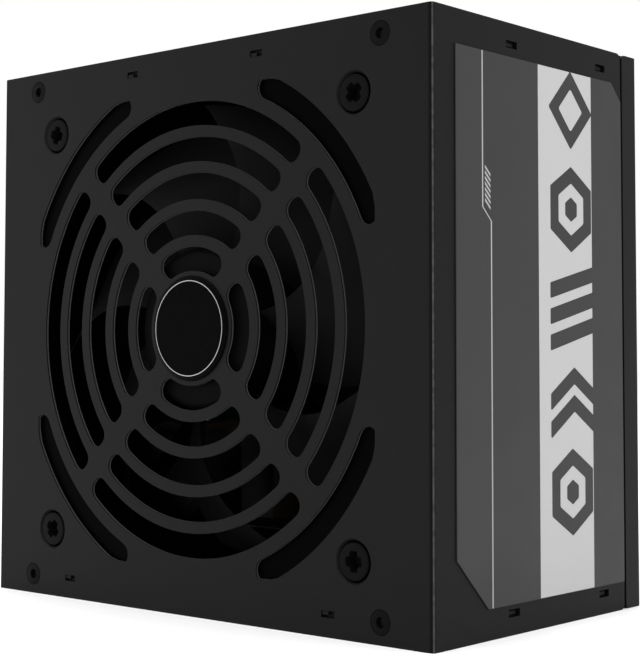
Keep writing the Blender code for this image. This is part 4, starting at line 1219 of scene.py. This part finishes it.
def build_choke(node, axis, wire, turns, arcs, core_material, core_slot):
    """Ring core with turns of enamelled wire, wound over one or more stretches of the ring."""
    centre, size = box_of(node)
    along = size["XYZ".index(axis)] / 2 - wire / 2 - 0.0001
    outer = size[2] / 2 - wire / 2 - 0.0002
    inner = outer * BORE_SHARE
    margin, ease = wire / 2 + 0.0001, 0.0006
    bore, rim, cheek = inner + margin, outer - margin, along - margin
    profile = [(bore, cheek - ease), (bore + ease, cheek), (rim - ease, cheek), (rim, cheek - ease)]
    profile += [(radius, -height) for radius, height in reversed(profile)]
    core = turned(f"{node}_core", profile, axis="Z", steps=72, closed=True)
    bm = bmesh.new()
    for start, end in arcs:
        for turn in range(turns):
            angle = start + (end - start) * turn / (turns - 1)
            wire_turn(bm, (inner, outer, along), wire, angle)
    bmesh.ops.recalc_face_normals(bm, faces=bm.faces)
    winding = add_bmesh(f"{node}_winding", bm)
    for piece, material, slot in ((core, core_material, core_slot), (winding, COPPER, "winding")):
        place(shade(lay(piece, centre, FACING[axis])), material, slot, node)


def build_can(node):
    """Capacitor: a shrunk sleeve with a bead near its foot, and a scored metal top."""
    middle, size = box_of(node)
    centre = (middle[0], 0, middle[2])
    radius = size[2] / 2
    foot, top = -middle[1] - size[1] / 2, -middle[1] + size[1] / 2
    roll = radius * 0.09
    bead = foot + radius * 0.34
    profile = [(0, foot), (radius - roll, foot), (radius, foot + roll), (radius, bead - 2 * roll)]
    profile += [(radius - roll, bead), (radius, bead + 2 * roll), (radius, top - roll)]
    profile += [(radius - roll * 0.4, top - roll * 0.3), (radius - roll * 1.4, top)]
    profile += [(radius - roll * 2.2, top - roll * 0.2), (radius - roll * 2.3, top - roll)]
    profile.append((0, top - roll))
    sleeve = turned(f"{node}_sleeve", profile, centre)
    place(shade(sleeve), SLEEVE, "capacitor", node)

    lid_radius = radius - roll * 2.35
    lid = [(0, top - roll * 0.95), (lid_radius, top - roll * 0.95), (lid_radius, top - roll * 0.6)]
    lid += [(lid_radius - roll * 0.5, top - roll * 0.35), (0, top - roll * 0.35)]
    disc = turned(f"{node}_lid", lid, centre)
    score, reach = radius * 0.045, lid_radius * 0.72
    near, far = -top - 0.001, -top + roll * 0.65
    for half_x, half_z in ((reach, score), (score, reach)):
        low = (middle[0] - half_x, near, middle[2] - half_z)
        high = (middle[0] + half_x, far, middle[2] + half_z)
        combine(disc, boxes("score", [(low, high)]))
    place(shade(disc), CAN_TOP, "capacitor")


def build_components():
    """Chokes and capacitors, some of which show through the grilles."""
    halves = [(math.radians(start), math.radians(start + 140)) for start in (20, 200)]
    nearly_all = [(math.radians(-75), math.radians(255))]
    build_choke("emi_choke", "X", 0.0011, 12, halves, FERRITE, "ferrite")
    build_choke("pfc_choke", "Y", 0.0015, 30, nearly_all, YELLOW, "core_yellow")
    build_choke("output_choke", "Y", 0.0011, 18, nearly_all, YELLOW, "core_yellow")
    for node in ("bulk_capacitor", "output_capacitor_1", "output_capacitor_2", "output_capacitor_3"):
        build_can(node)


CARRIED = {
    "fan_stator": COPPER,
    "fan_bearing": BRASS,
    "fan_magnet_ring": MAGNET,
    "fan_shaft": ZINC,
    "insulator_sheet": INSULATOR,
    "main_board": BOARD,
    "x_capacitor": YELLOW,
    "bridge_rectifier": PLASTIC,
    "primary_heatsink": ALUMINIUM,
    "primary_transistor": PLASTIC,
    "main_transformer": FERRITE,
    "standby_transformer": YELLOW,
    "secondary_heatsink": ALUMINIUM,
    "output_rectifier": PLASTIC,
    "control_board": BOARD,
    "fuse": CERAMIC,
    "thermistor": FERRITE,
    "board_standoff": BRASS,
    "board_screw": ZINC,
}


def dress_inside():
    """Give every CAD node that stays its procedural finish."""
    for name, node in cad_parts.items():
        if node.hide_render:
            continue
        node.data.materials.clear()
        node.data.materials.append(CARRIED.get(name) or CARRIED[name.rsplit("_", 1)[0]])


# ---------------- stage


def aim(thing, back):
    """Turn a camera or light so that it looks the other way from back, with Z up."""
    thing.rotation_euler = Vector(back).to_track_quat("Z", "Y").to_euler()


def build_camera():
    data = bpy.data.cameras.new("camera")
    data.sensor_fit = "AUTO"
    data.sensor_width = 36.0
    data.lens = 86.04
    data.shift_x = -0.0548
    data.shift_y = -0.0790
    data.clip_start = 0.01
    camera = bpy.data.objects.new("camera", data)
    bpy.context.scene.collection.objects.link(camera)
    camera.location = (0.2801, -0.3092, 0.0625)
    azimuth, elevation = math.radians(40.43), math.radians(-3.04)
    across, away = math.sin(azimuth), -math.cos(azimuth)
    flat = math.cos(elevation)
    aim(camera, (across * flat, away * flat, math.sin(elevation)))
    bpy.context.scene.camera = camera


def add_light(name, location, size, power):
    """Square area light that faces the middle of the case."""
    data = bpy.data.lights.new(name, "AREA")
    data.shape = "RECTANGLE"
    data.size = size
    data.size_y = size
    data.energy = power
    light = bpy.data.objects.new(name, data)
    bpy.context.scene.collection.objects.link(light)
    light.location = location
    aim(light, Vector(location) - Vector((0, 0, HUB_Z)))


def build_stage():
    bm = bmesh.new()
    bmesh.ops.create_grid(bm, x_segments=1, y_segments=1, size=6)
    floor = add_bmesh("floor", bm)
    paper = bpy.data.materials.new("floor_paper")
    paper.use_nodes = True
    shader = paper.node_tree.nodes["Principled BSDF"]
    shader.inputs["Base Color"].default_value = (0.95, 0.95, 0.95, 1)
    shader.inputs["Roughness"].default_value = 0.9
    floor.data.materials.append(paper)
    world = bpy.data.worlds.new("studio")
    world.use_nodes = True
    background = world.node_tree.nodes["Background"]
    background.inputs["Color"].default_value = (1, 1, 1, 1)
    background.inputs["Strength"].default_value = 1.0
    bpy.context.scene.world = world
    bpy.context.scene.view_settings.view_transform = "Standard"
    add_light("top", (0.1, -0.1, 1.6), 2.0, 28)
    add_light("key", (-0.62, -0.50, 0.07), 0.5, 0.6)
    add_light("side", (1.2, -0.1, 0.25), 0.8, 1.5)


build_camera()
build_stage()
build_fan_cover()
build_base_shell()
build_screws()
build_badge()
build_side_label(1, "side_label")
build_side_label(-1, "side_label_left")
build_rating_label()
build_fan_frame()
build_rotor()
build_inlet()
build_switch()
build_grommet()
build_components()
dress_inside()
